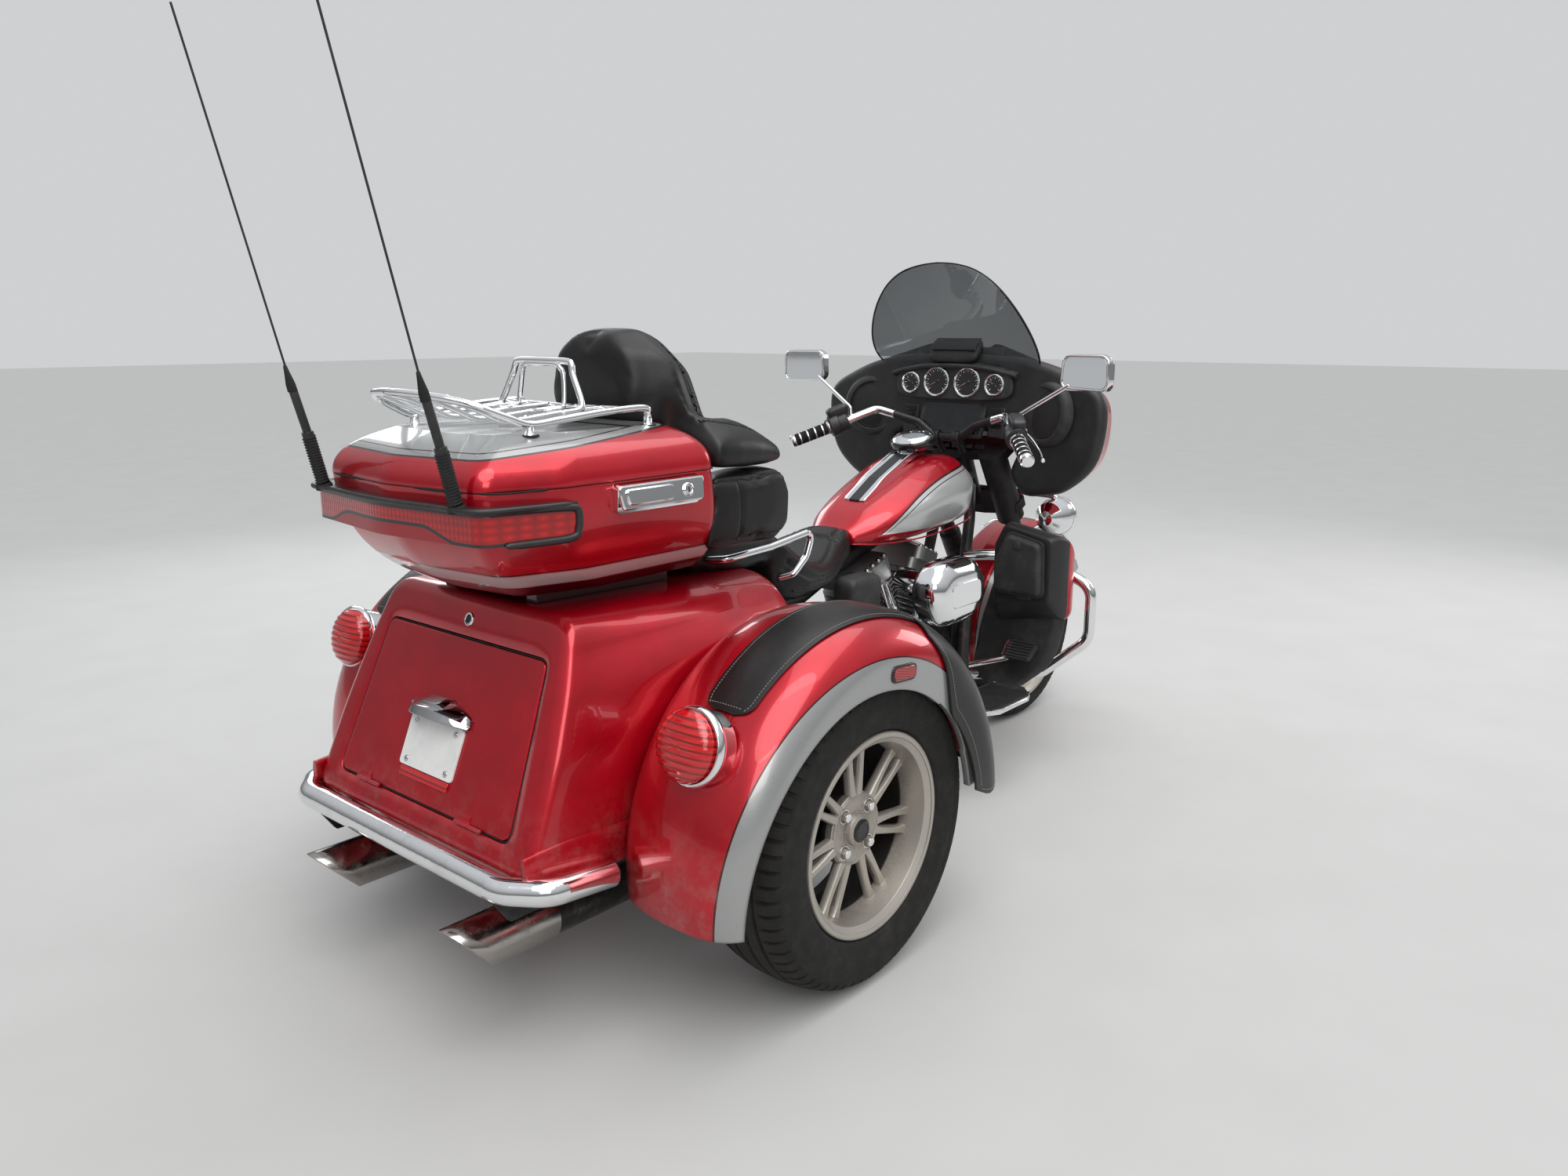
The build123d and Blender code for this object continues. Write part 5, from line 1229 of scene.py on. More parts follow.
def make_wheel_details():
    """Seven pairs of flared spokes, the hub's cap and rings, lug caps and the valve of each rear wheel."""
    for sign, side in zip(SIDES, ("right", "left")):
        body, out = "rear_wheel_" + side, Vector((0, sign, 0))
        spokes, hub, nuts, cap, valve = Shape(), Shape(), Shape(), Shape(), Shape()
        for pair in range(7):
            turn = math.radians(90 + 360 * pair / 7)
            along = Vector((math.cos(turn), 0, math.sin(turn)))
            aside = Vector((-math.sin(turn), 0, math.cos(turn)))
            for fork in (-1, 1):
                rings = []
                for t in (k / 14 for k in range(15)):
                    middle = fork * (9.5 + 10.5 * t + 2.2 * math.sin(t * math.pi))
                    half = 7.0 + 3.0 * (1 - t) ** 3 + 6.0 * t ** 7
                    deep, crest = 598.0 - 2.0 * t, 613.5 - 2.5 * t + 1.5 * t ** 6
                    outline = [(-half, deep), (half, deep), (half, crest - 3.5), (half - 2.6, crest),
                               (-half + 2.6, crest), (-half, crest - 3.5)]
                    rings.append([at(0, sign * y, REAR_AXLE_Z) + (along * (71 + 113 * t) + aside * (middle + x)) * MM
                                  for x, y in outline])
                spokes.rings(rings)
        spokes.make("spokes_" + side, body, "spoke_metal", "rim", 40.0)
        face = at(0, sign * (REAR_WHEEL_Y + 60), REAR_AXLE_Z)
        cap.lathe(face, out, [(-2, 24), (1, 24), (3.5, 21), (4.2, 17), (3.0, 15.5), (3.0, 0.2)], 40)
        cap.make("hub_cap_" + side, body, "gloss_black", "rim")
        centre = at(0, sign * REAR_WHEEL_Y, REAR_AXLE_Z)
        hub.lathe(face, out, [(-14, 35), (-13.4, 38), (-12.8, 35.5), (-13.2, 33)], 56)
        hub.lathe(centre, out, [(45.5, 68), (47.2, 69.5), (47.6, 72), (45.8, 74)], 64)
        hub.lathe(centre, out, [(94.4, 196), (95.4, 199), (95.8, 203), (94.6, 207.5)], 96)
        hub.make("hub_rings_" + side, body, "rear_wheel", "rim")
        for a in (math.radians(45 + 90 * k) for k in range(4)):
            foot = at(math.cos(a) * 54, sign * (REAR_WHEEL_Y + 46), REAR_AXLE_Z + math.sin(a) * 54)
            nuts.lathe(foot, out, [(0.2, 15), (1.5, 15), (1.6, 12.6)], 30)
            nuts.lathe(foot, out, [(9, 9.5), (11.5, 8.6), (12.6, 4), (12.8, 0.2)], 24)
        nuts.make("lug_caps_" + side, body, "chrome", "chrome")
        a = math.radians(116)
        foot = at(math.cos(a) * 184, sign * (REAR_WHEEL_Y + 58), REAR_AXLE_Z + math.sin(a) * 184)
        aim = facing(-math.cos(a), sign * 0.9, -math.sin(a))
        valve.tube([foot, foot + aim * 12 * MM, foot + aim * 24 * MM], [3.2, 3.0, 3.4], 10)
        valve.make("valve_" + side, body, "pad_rubber", "rubber")


DASH_D = 1271.6
GAUGES = ((-53, 1133, 41), (53, 1133, 41), (-145, 1128, 29), (145, 1128, 29))  # y, height, radius


def make_dash():
    """The dash's panels, screen and buttons, and the speakers, on the rider's side of the fairing."""
    back, across = facing(-1, 0, 0.10), Vector(RIGHT)
    axes = (across, back.cross(across).normalized(), back)
    panel, screen, buttons = Shape(), Shape(), Shape()
    outline = rounded([(-206, -36), (-120, -50), (120, -50), (206, -36), (196, 38), (110, 52), (-110, 52), (-196, 38)],
                      34, 6)
    panel.plate(at(DASH_D, 0, 1129), axes, outline, 13.0, 4.0)
    hood = []
    for t in (-1 + 2 * i / 32 for i in range(33)):
        y, lift = 214 * t, 1185 - 26 * abs(t) ** 2.4
        hood.append([at(1272, y, lift - 14), at(1246 + 10 * abs(t), y, lift - 10), at(1240 + 12 * abs(t), y, lift - 4),
                     at(1244 + 12 * abs(t), y, lift + 1), at(1288, y, lift + 10), at(1288, y, lift - 10)])
    panel.rings(hood)
    screen_out = facing(-0.94, 0, 0.34)
    screen_axes = (across, facing(0.34, 0, 0.94), screen_out)
    panel.plate(at(1272, 0, 1022), screen_axes, box(112, 56, 12), 16.0, 4.0)
    screen.plate(at(1272, 0, 1022) + screen_out * 15.4 * MM, screen_axes, box(96, 46, 5, 4), 1.6, 0.6)
    for y in (-150, 150):
        panel.plate(at(DASH_D, y, 1020), axes, box(26, 44, 8, 4), 7.0, 2.5)
        for row in range(4):
            buttons.plate(at(DASH_D - 6.8, y, 1020 - 30 + row * 20), axes, box(19, 7, 3, 3), 2.6, 0.9)
    for k in range(6):
        buttons.plate(at(DASH_D - 8, -100 + k * 40, 946), axes, box(15, 6, 3, 3), 4.6, 1.0)
    panel.make("dash_panels", "steering", "black_soft", "black_plastic")
    screen.make("dash_screen", "steering", "screen_glass", "screen")
    buttons.make("dash_buttons", "steering", "gloss_black", "black_plastic")
    make_gauges(axes)
    speakers, grilles = Shape(), Shape()
    for sign in SIDES:
        aim = facing(-1, -sign * 0.30, 0.08)
        foot = at(1276, sign * 300, 1052)
        speakers.lathe(foot, aim, [(-14, 96), (2, 94), (12, 86), (15, 78), (14, 73), (4, 70), (0, 0.2)], 72)
        speakers.lathe(foot, aim, [(3, 71), (9, 69.5), (10, 67), (8, 66)], 64)
        grilles.lathe(foot, aim, [(4, 69), (8, 66), (12, 50), (14, 28), (14.6, 0.2)], 56)
    speakers.make("speaker_pods", "steering", "black_soft", "black_plastic")
    grilles.make("speaker_grilles", "steering", "speaker", "black_plastic")


def make_gauges(axes):
    """Four gauges with plain ticks and a needle each, and no figures."""
    across, upward, back = axes
    rings, faces, marks, needles = Shape(), Shape(), Shape(), Shape()

    def blade(shape, foot, angle, inner, outer, levels):
        """A flat bar that points out from a gauge's middle, from its (radius, half width) at both ends."""
        a = math.radians(angle)
        way = across * math.sin(a) + upward * math.cos(a)
        turn = across * math.cos(a) - upward * math.sin(a)
        ends = ((inner[0], -inner[1]), inner, outer, (outer[0], -outer[1]))
        corners = [foot + (way * reach + turn * half) * MM for reach, half in ends]
        shape.rings([[c + back * level * MM for c in corners] for level in levels])

    for y, z, r in GAUGES:
        large = r > 35
        foot = at(DASH_D - 12.5, y, z)
        rings.lathe(foot, back, [(-2, r + 1), (2, r + 3.5), (6.5, r + 3), (8, r), (6.5, r - 2.5), (2.2, r - 3.2)], 64)
        faces.lathe(foot, back, [(0.4, r - 1.5), (2.0, r - 1.8), (2.0, 0.2)], 56)
        faces.lathe(foot, back, [(2.2, 5.5), (4.6, 5.0), (5.0, 0.2)], 24)
        count = 21 if large else 13
        for k in range(count):
            reach, half = (12, 0.75) if k % 2 == 0 else (8.5, 0.4)
            blade(marks, foot, -132 + 264 * k / (count - 1), (r - reach, half), (r - 5, half), (2.1, 2.5))
        blade(needles, foot, -118 if large else -60, (-8, 1.4), (r - 9, 0.4), (3.2, 4.0))
    rings.make("gauge_rings", "steering", "chrome", "chrome")
    faces.make("gauge_faces", "steering", "dial", "black_plastic")
    marks.make("gauge_marks", "steering", "mark", "plate")
    needles.make("gauge_needles", "steering", "needle", "lens")


def pillow(shape, centre, axes, half_x, half_y, deep, power, sag=0.0):
    """A stuffed, closed form that stands on a surface."""
    right, up, out = (Vector(v).normalized() for v in axes)
    rings = []
    for t in (k / 10 for k in range(11)):
        if t < 0.45:
            grow = 0.88 + 0.12 * math.sin(min(1.0, t * 2.2) * math.pi / 2)
            rise = deep * (t / 0.45 * 0.6)
        else:
            turn = (t - 0.45) / 0.55 * math.pi / 2
            grow = max(math.cos(turn) ** 0.42, 0.02)
            rise = deep * (0.6 + 0.4 * math.sin(turn))
        ring = []
        for x, y in oval(half_x * grow, half_y * grow, 44, power):
            droop = -sag * (1 - (x / half_x) ** 2) * (rise / deep)
            ring.append(Vector(centre) + (right * x + up * (y + droop) + out * rise) * MM)
        rings.append(ring)
    shape.rings(rings)


def make_bag():
    """The black three-pocket bag at the windshield's foot."""
    bag, flap = Shape(), Shape()
    right, up, out = Vector(RIGHT), facing(0.60, 0, 0.80), facing(-0.80, 0, 0.60)
    pillow(bag, at(1292, 0, 1212), (right, up, out), 84, 42, 36, 4.2, 3.0)
    for sign in SIDES:
        rings = []
        for t in (k / 12 for k in range(13)):
            ease = 1.0 - 0.25 * (abs(2 * t - 1) ** 8)
            high, deep = (84 - 60 * t) * ease, (32 - 14 * t) * ease
            outline = full_ring([(0, 0), (0, deep), (high, deep * 0.62), (high, 0)], 11, 4, 3)
            rings.append([at(1292, sign * (90 + 192 * t), 1177 - 8 * t) + (up * u + out * o) * MM for u, o in outline])
        bag.rings(rings)
    back = rounded([(-158, -34), (158, -34), (150, 30), (-150, 30)], 16)
    bag.plate(at(1296, 0, 1206), (right, up, out), back, 9.0, 2.5)
    made = bag.make("windshield_bag", "steering", "cloth_black", "black_plastic", 60.0)
    section = ((-78, 0), (-74, 1.6), (74, 1.6), (78, 0), (74, -0.6), (-74, -0.6))
    rings = []
    for t in (i / 8 for i in range(9)):
        rise = 33 + 8 * math.sin(t * math.pi * 0.7)
        rings.append([at(1292, 0, 1212) + (right * x + up * (38 - 50 * t) + out * (rise + deep - 6 * (1 - t))) * MM
                      for x, deep in section])
    flap.rings(rings)
    flap.make("windshield_bag_flaps", "steering", "cloth_black", "black_plastic", 60.0)


GRIP_END = Vector((1003.0, -401.0, 950.0))
BAR_BEND = Vector((1193.0, -225.0, 1047.0))
GRIP_RIBS = [(10 + k * 2.0 + step, 17.6 if step == 0.0 else 18.8 if k % 6 else 17.2)
             for k in range(51) for step in (0.0, 0.8, 1.4)]


def make_controls():
    """Ribbed grips, switch housings and levers."""
    along = (BAR_BEND - GRIP_END).normalized()

    def bar(distance, sign, push=(0, 0, 0)):
        p = GRIP_END + along * distance + Vector(push)
        return at(p.x, p.y * -sign, p.z)

    grip, metal, housing, levers = Shape(), Shape(), Shape(), Shape()
    for sign in SIDES:
        end = bar(0, sign)
        aim = (bar(10, sign) - end).normalized()
        grip.lathe(end, aim, [(8, 13.4), (8, 17.4)] + GRIP_RIBS + [(114, 17.4), (114, 13.4)], 32)
        metal.lathe(end, aim, [(-7, 0.2), (-7, 15), (-4, 19), (3, 20.5), (8, 20), (8, 13.4)], 36)
        for start in (22, 46, 70, 94):
            metal.lathe(end, aim, [(start, 18.2), (start + 0.6, 20.0), (start + 4.4, 20.0), (start + 5, 18.2)], 36)
        metal.lathe(end, aim, [(112, 13.4), (112, 21), (115, 22.5), (119, 22.5), (120, 13.4)], 36)
        housing.lathe(end, aim, [(121, 13.6), (121, 26), (124, 30), (146, 31), (150, 30), (152, 27), (176, 27.5),
                                 (180, 21), (180, 13.6)], 36, 1.1)
        above = (Vector(UP) - aim * aim.z).normalized()
        pillow(housing, bar(148, sign, (2, 0, 26)), (aim, above.cross(aim), above), 34, 21, 30, 6.0)
        for place, push, size in ((134, (-18, -14, 10), 6), (146, (-22, -10, -4), 7), (158, (-14, -18, -14), 5)):
            spot = bar(place, sign, push)
            housing.lathe(spot, spot - bar(place, sign), [(-6, size), (5, size), (7, size - 2), (7, 0.2)], 18)
        pivot = bar(168, sign, (34, -10, 0))
        line = curve([bar(166, sign, (14, -4, 2)), pivot, bar(120, sign, (50, -16, -2)), bar(60, sign, (58, -20, -6)),
                      bar(8, sign, (58, -18, -8))])
        taper = [6.5 - 2.2 * min(1.0, i / len(line) * 1.4) for i in range(len(line) - 3)]
        levers.tube(line, taper + [4.6, 6.2, 5.0])
        levers.lathe(pivot, UP, [(-10, 0.2), (-10, 11), (-7, 12.5), (7, 12.5), (10, 11), (10, 0.2)], 24)
    made = grip.make("grip_rubber", "steering", "pad_rubber", "rubber", 50.0)
    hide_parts("grips")
    metal.make("grip_rings", "steering", "chrome", "chrome")
    housing.make("switch_housings", "steering", "black", "black_plastic")
    levers.make("levers", "steering", "chrome", "chrome", 60.0)


def make_mirrors():
    """Each mirror's glass, its rim and the domed back of its shell."""
    faces, shells = Shape(), Shape()
    up = Vector(UP)
    for sign in SIDES:
        right, out = facing(-0.12, sign * 0.99, 0), facing(-0.99, sign * -0.12, 0)
        centre = at(1150, sign * 478, 1175)
        line = rounded([(-68, -38), (68, -43), (65, 40), (-63, 40)], 24, 7)
        faces.plate(centre + out * 0.2 * MM, (right, up, out), line, 1.6, 0.5)
        edge = rounded([(-75, -44), (75, -50), (72, 46), (-70, 46)], 26, 7)
        shells.tube([centre + (right * x + up * y + out * 0.8) * MM for x, y in inset(edge, 3.0)], 3.0, 10, loop=True)
        rings = []
        for k in range(9):
            turn = k / 8 * math.pi / 2
            grow = math.cos(turn) ** 0.5 if k < 8 else 0.03
            rings.append([centre + (right * x * grow + up * y * grow - out * (23 + 16 * math.sin(turn))) * MM
                          for x, y in edge])
        shells.rings(rings)
    faces.make("mirror_glass", "steering", "mirror", "chrome")
    shells.make("mirror_shells", "steering", "chrome", "chrome", 60.0)


def bolts(shape, places, axis, profile, segments=16):
    """The same small turned form at many places."""
    for place in places:
        shape.lathe(place, axis, profile, segments)


def make_engine_details():
    """Pushrod tubes, bolts, covers and the radiator's fins."""
    rods, heads, covers, grille = Shape(), Shape(), Shape(), Shape()
    right_side, left_side = (AHEAD, UP, RIGHT), (AHEAD, UP, LEFT)
    tube_places, tube_radii = (0, 0.12, 0.14, 0.5, 0.52, 0.60, 0.62, 1), [12, 12, 8.5, 8.5, 10.5, 10.5, 8.5, 8.5]
    for lean, spots in ((-22.5, (-20, 14)), (22.5, (-14, 20))):
        a = math.radians(lean)
        for spot in spots:
            foot = at(CRANK_D + 96 * math.sin(a) + spot, -108, CRANK_Z + 96 * math.cos(a))
            head = at(CRANK_D + 268 * math.sin(a) + spot * 0.6, -96, CRANK_Z + 268 * math.cos(a))
            rods.tube([foot.lerp(head, share) for share in tube_places], tube_radii, 20)
        top, side = Vector((math.sin(a), 0, math.cos(a))), Vector((math.cos(a), 0, -math.sin(a)))
        corners = [at(CRANK_D, 0, CRANK_Z) + (top * 330 + side * sx * 40 * reach) * MM + Vector((0, sy * 84, 0)) * MM
                   for sx in (-1, 1) for sy in (-1, 1) for reach in (0.35, 1.0)]
        bolts(heads, corners, top, [(-1, 7), (3, 7), (3.2, 5), (6, 5), (6.6, 4), (6.6, 0.2)], 12)
    rods.make("pushrod_tubes", "chassis", "chrome", "chrome", 40.0)
    turns = [math.radians(72 * k + 20) for k in range(5)]
    bolts(heads, [at(CRANK_D + math.cos(a) * 88, -168, 385 + math.sin(a) * 66) for a in turns], RIGHT,
          [(-2, 7), (3, 6.5), (4, 4), (4, 0.2)])
    primary = ((600, 330), (585, 400), (650, 458), (800, 462), (960, 460), (1050, 430), (1075, 350), (1000, 284),
               (850, 280), (700, 284))
    bolts(heads, [at(d, 236, z) for d, z in primary], LEFT, [(-2, 7.5), (3.4, 7), (4.4, 5), (4.4, 0.2)])
    heads.make("engine_bolts", "chassis", "satin_chrome", "chrome")
    covers.plate(at(0, 236.2, 0), left_side, rounded([(612, 326), (712, 292), (990, 292), (1062, 344), (1040, 424),
                                                      (948, 450), (650, 450), (596, 396)], 36, 6), 9.0, 5.0)
    covers.lathe(at(960, 243, 372), LEFT, [(0, 62), (5, 60), (8, 54), (9, 44), (9, 0.2)], 56)
    covers.plate(at(0, -168.2, 0), right_side, rounded([(812, 342), (900, 296), (988, 342), (988, 420), (898, 452),
                                                        (820, 428)], 34, 6), 7.0, 4.0)
    covers.make("engine_covers", "chassis", "chrome", "chrome")
    fin = [(-58, -1.2), (58, -1.2), (58, 1.2), (-58, 1.2)]
    for k in range(30):
        grille.plate(at(1281, 0, 312 + k * 8.2), (LEFT, UP, AHEAD), fin, 2.0, 0.5)
    grille.make("radiator_fins", "chassis", "fins", "engine")


def make_box_details():
    """Latch, lid seal, antenna coils and the antennas' feet."""
    latch, dark = Shape(), Shape()
    up, out = facing(0, 0.19, 1), facing(0, -1, 0.19)
    axes = (AHEAD, up, out)
    foot = at(-215, -304, 996)
    key = foot + Vector((62, 0, 0)) * MM + up * -9 * MM
    latch.plate(foot, axes, rounded([(-104, -32), (104, -32), (110, 14), (-110, 14)], 9, 4), 7.0, 3.0)
    latch.plate(foot + out * 6.5 * MM, axes, rounded([(-92, -24), (20, -24), (24, 6), (-96, 6)], 8, 4), 5.0, 2.5)
    latch.lathe(key + out * 6.8 * MM, out, [(0, 13), (3, 13), (4.4, 11), (4.4, 8.5), (3, 7.5), (3, 0.2)], 36)
    latch.make("latch_cover", "chassis", "chrome", "chrome")
    dark.plate(key + out * 9.6 * MM, axes, [(-1, -4.5), (1, -4.5), (1, 4.5), (-1, 4.5)], 0.8, 0.2)
    seal = [(d, y * 0.995, 1017.8) for d, y in ((-52, -281), (-434, -284), (-575, -240), (-601, 0))]
    dark.tube(path(mirrored(seal), 1, 10), 1.8, 8)
    turns = 17 * 12
    for sign in SIDES:
        low, high = at(-608, sign * 220, 996), at(-632, sign * 220, 1100)
        axis, side = high - low, Vector(LEFT)
        other = axis.normalized().cross(side)
        coil = []
        for i in range(turns + 1):
            a = math.tau * i / 12
            coil.append(low + axis * (0.06 + 0.86 * i / turns) + (side * math.cos(a) + other * math.sin(a)) * 11.2 * MM)
        dark.tube(coil, 2.0, 6)
        dark.lathe(low, axis, [(-6, 16), (0, 16), (5, 13), (9, 12)], 24)
        joint = at(-656, sign * 220, 1190)
        dark.lathe(joint, at(-671, sign * 220, 1255) - joint, [(-14, 9), (0, 8.6), (18, 5.5), (34, 3.2), (36, 0.2)], 20)
    dark.make("box_rubber_parts", "chassis", "pad_rubber", "rubber", 50.0)


def make_console_details():
    """Filler cap, console edges and the handlebar's clamps."""
    trim, ring, clamp = Shape(), Shape(), Shape()
    axis, foot = facing(-0.28, 0, 0.96), at(1062, 0, 972)
    cap = [(6, 0.2), (6, 58), (13, 58.5), (17, 55), (20.5, 47), (23.5, 34), (25.5, 18), (26.2, 0.2)]
    trim.lathe(foot, axis, cap, 64)
    ring.lathe(foot, axis, [(-6, 52), (-6, 62), (2, 65), (9, 65), (12, 62.5), (12, 58.5)], 64)
    ring.make("filler_cap_ring", "chassis", "gloss_black", "black_plastic")
    edge = [(788, 33, 835), (830, 33, 858), (876, 33, 887), (940, 33, 916), (995, 33, 939), (1030, 33, 951)]
    for sign in SIDES:
        trim.tube(path(edge, sign, 6), 2.6, 10, ends=0.4)
    trim.make("console_trim", "chassis", "chrome", "chrome")
    bolts(clamp, [at(1240, y, 972) for y in (-48, 24)], LEFT,
          [(0, 13.4), (0, 19), (2, 21), (22, 21), (24, 19), (24, 13.4)], 36)
    clamp.make("bar_clamps", "steering", "black_metal", "black_metal")


def make_front_details():
    """Headlamp, passing lamps and the front fender's trim."""
    chromed, clear = Shape(), Shape()
    lamps = [at(1480, sign * 240, 728) for sign in SIDES]
    chromed.lathe(at(1535, 0, 996), AHEAD, [(8, 92), (16, 94), (24, 91), (28, 86), (24, 82)], 72)
    clear.lathe(at(1535, 0, 996), AHEAD, [(23, 84), (34, 72), (41, 50), (45.5, 24), (46, 0.2)], 64)
    bolts(chromed, lamps, AHEAD, [(16, 58), (24, 60), (33, 58), (36, 54), (33, 50)], 56)
    bolts(clear, lamps, AHEAD, [(30, 52), (38, 42), (43, 24), (44, 0.2)], 48)
    # The tip: a bar across the fender's rear edge, which follows its rounded section
    a = math.radians(152.5)
    line = []
    for y in (-84 + 7 * k for k in range(25)):
        r = 352.4 - (5.0 * (abs(y) / 58) ** 2 if abs(y) < 58 else 5 + 21 * ((abs(y) - 58) / 26) ** 1.2)
        line.append(at(NOSE_D - math.cos(a) * r, y * 1.004, FRONT_AXLE_Z + math.sin(a) * r))
    chromed.tube(line, 4.0, 10)
    rail = [(1602, 86, 640), (1670, 87, 656), (1780, 87, 640), (1880, 87, 580), (1950, 86, 500)]
    for sign in SIDES:
        chromed.tube(path(rail, sign), 3.0, 8, ends=0.5)
    chromed.make("front_chrome", "steering", "chrome", "chrome", 50.0)
    clear.make("lamp_glasses", "steering", "lamp_glass", "screen")


def make_floorboard_details():
    """Rubber ribs on the floorboards and the pedals, and the boards' rims."""
    ribs, rim = Shape(), Shape()
    board = rounded([(900, 236), (940, 228), (1150, 228), (1190, 262), (1178, 330), (1120, 378), (960, 378),
                     (890, 340)], 22)
    board_rib = rounded([(-108, -2.8), (104, -2.8), (104, 2.8), (-108, 2.8)], 2.4, 3)
    pad_up, pad_out = facing(0.77, 0, 0.64), facing(-0.64, 0, 0.77)
    for sign in SIDES:
        rim.tube([at(d, sign * y, 268) for d, y in inset(board, 0.5)], 5.0, 10, loop=True)
        for y in range(244, 365, 10):
            ribs.plate(at(1040, sign * y, 273.6), (AHEAD, LEFT, UP), board_rib, 4.0, 1.2)
        foot = at(1195, sign * 300, 372) + pad_out * 10 * MM
        for rise in range(-25, 26, 10):
            ribs.plate(foot + pad_up * rise * MM, (LEFT, pad_up, pad_out), box(40, 2.6, 2.2, 3), 3.4, 1.0)
    ribs.make("floorboard_ribs", "chassis", "pad_rubber", "rubber")
    rim.make("floorboard_rims", "chassis", "chrome", "chrome")


def make_glove_details():
    """A domed face with a button for each glove-box lid."""
    line = rounded([(222, 550), (376, 550), (370, 700), (264, 722), (228, 644)], 20, 6)
    for sign, body in zip(SIDES, ("glove_lid_right", "glove_lid_left")):
        face = Shape()
        rings = []
        for k in range(8):
            turn = k / 7 * math.pi / 2
            shrink = inset([(sign * y, z) for y, z in line], 1.0 + 13.0 * (1 - math.cos(turn)) if k else 0.0)
            rings.append([at(1164 - 14 * math.sin(turn), y, z) for y, z in shrink])
        face.rings(rings)
        face.lathe(at(1150, sign * 300, 690), (-1, 0, 0), [(-2, 13), (3, 12), (4.5, 9), (4.5, 0.2)], 28)
        face.make(body + "_face", body, "black_soft", "black_plastic", 50.0)


def make_rear_details():
    """Bumper end plugs and the exhausts' slash-cut tips."""
    plugs, tips = Shape(), Shape()
    ends = [at(-452, sign * 400, 329) for sign in SIDES]
    bolts(plugs, ends, (1, 0, -0.1), [(-6, 23), (2, 24.6), (4, 22), (5, 0.2)], 32)
    # Rows of (share of the way to the lip, radius, how far beyond)
    walls = [(share / 8, 50.6, 0.0) for share in range(9)]
    walls += [(1.0, 49.6, -1.4), (1.0, 47.4, -1.2), (1.0, 46.6, 0.0), (0.55, 46.4, 0.0)]
    for sign in SIDES:
        rings = []
        for share, radius, beyond in walls:
            ring = []
            for turn in (math.tau * k / 48 for k in range(48)):
                lip = -606.0 - 92.0 * (1 + math.cos(turn)) / 2
                ring.append(at(-480.0 + (lip + 480.0) * share + beyond, sign * 235 + math.sin(turn) * radius,
                               205 + math.cos(turn) * radius))
            rings.append(ring)
        tips.rings(rings, caps=False)
    plugs.make("bumper_plugs", "chassis", "pad_rubber", "rubber")
    tips.make("exhaust_tips", "chassis", "tip_chrome", "chrome", 50.0)


# Skins: smooth forms over the CAD's tables

def drawn_to(ring, inner, outline, share):
    """A ring moved by a share of the way from its outline to an inner one."""
    return [p + Vector((0, (q[0] - r[0]) * MM, (q[1] - r[1]) * MM)) * share for p, q, r in zip(ring, inner, outline)]


def body_rings():
    """The rear body's rings, from the trunk's opening round the face and shoulders to the open front."""
    rear = full_ring(whole([(364, -34), (351, 150), (322, 320), (288, 444)]), 52)
    middle = full_ring(whole([(393, 380), (390, 560), (376, 694), (276, 773)]), 84)
    front = full_ring(whole([(360, 436), (350, 560), (308, 684), (224, 764)]), 84)
    places = [-560.0, -120.0, 190.0]
    rings = [[on_face(-y, u, 0) for y, u in rear], [at(places[1], y, z) for y, z in middle],
             [at(places[2], y, z) for y, z in front]]
    soft, soft_front, front_start = 24.0, 40.0, 150.0
    start = places[0] + soft
    drawn = inset(rear, soft)
    face_ring = [Vector(p) for p in drawn]
    opening, heart = rounded([(290, 26), (262, 362), (-262, 362), (-290, 26)], 26, 6), Vector((0, 200))
    hole = [ray_hit(opening, heart, p) for p in face_ring]
    stack = []
    for out, grow in ((-16.0, 0.0), (-1.5, 0.0), (0.0, 1.6)):
        lip = [h + (h - heart).normalized() * grow for h in hole]
        stack.append([on_face(-p.x, p.y, out) for p in lip])
    stack.append([on_face(-(h.x * 0.5 + p.x * 0.5), h.y * 0.5 + p.y * 0.5, 0) for h, p in zip(hole, face_ring)])
    stack.append([on_face(-p.x, p.y, 0) for p in face_ring])
    for a in quarters(7):
        ring = through(rings, places, places[0] + soft * (1 - math.cos(a)))
        stack.append([p + (on_face(-q[0], q[1], 0) - on_face(-r[0], r[1], 0)) * (1 - math.sin(a))
                      for p, q, r in zip(ring, drawn, rear)])
    stack += [through(rings, places, start + (front_start - start) * k / 30) for k in range(1, 31)]
    drawn_front = inset(front, soft_front)
    for a in quarters(8):
        ring = through(rings, places, front_start + soft_front * math.sin(a))
        stack.append(drawn_to(ring, drawn_front, front, 1 - math.cos(a)))
    last = stack[-1]
    front_hole, heart = rounded([(250, 520), (170, 735), (-170, 735), (-250, 520)], 22), Vector((0, 610))
    hits = [ray_hit(front_hole, heart, Vector((p.y / MM, p.z / MM))) for p in last]
    rim = [at(190, hit.x, hit.y) for hit in hits]
    return stack + [[a.lerp(b, 0.5) for a, b in zip(last, rim)], rim], middle


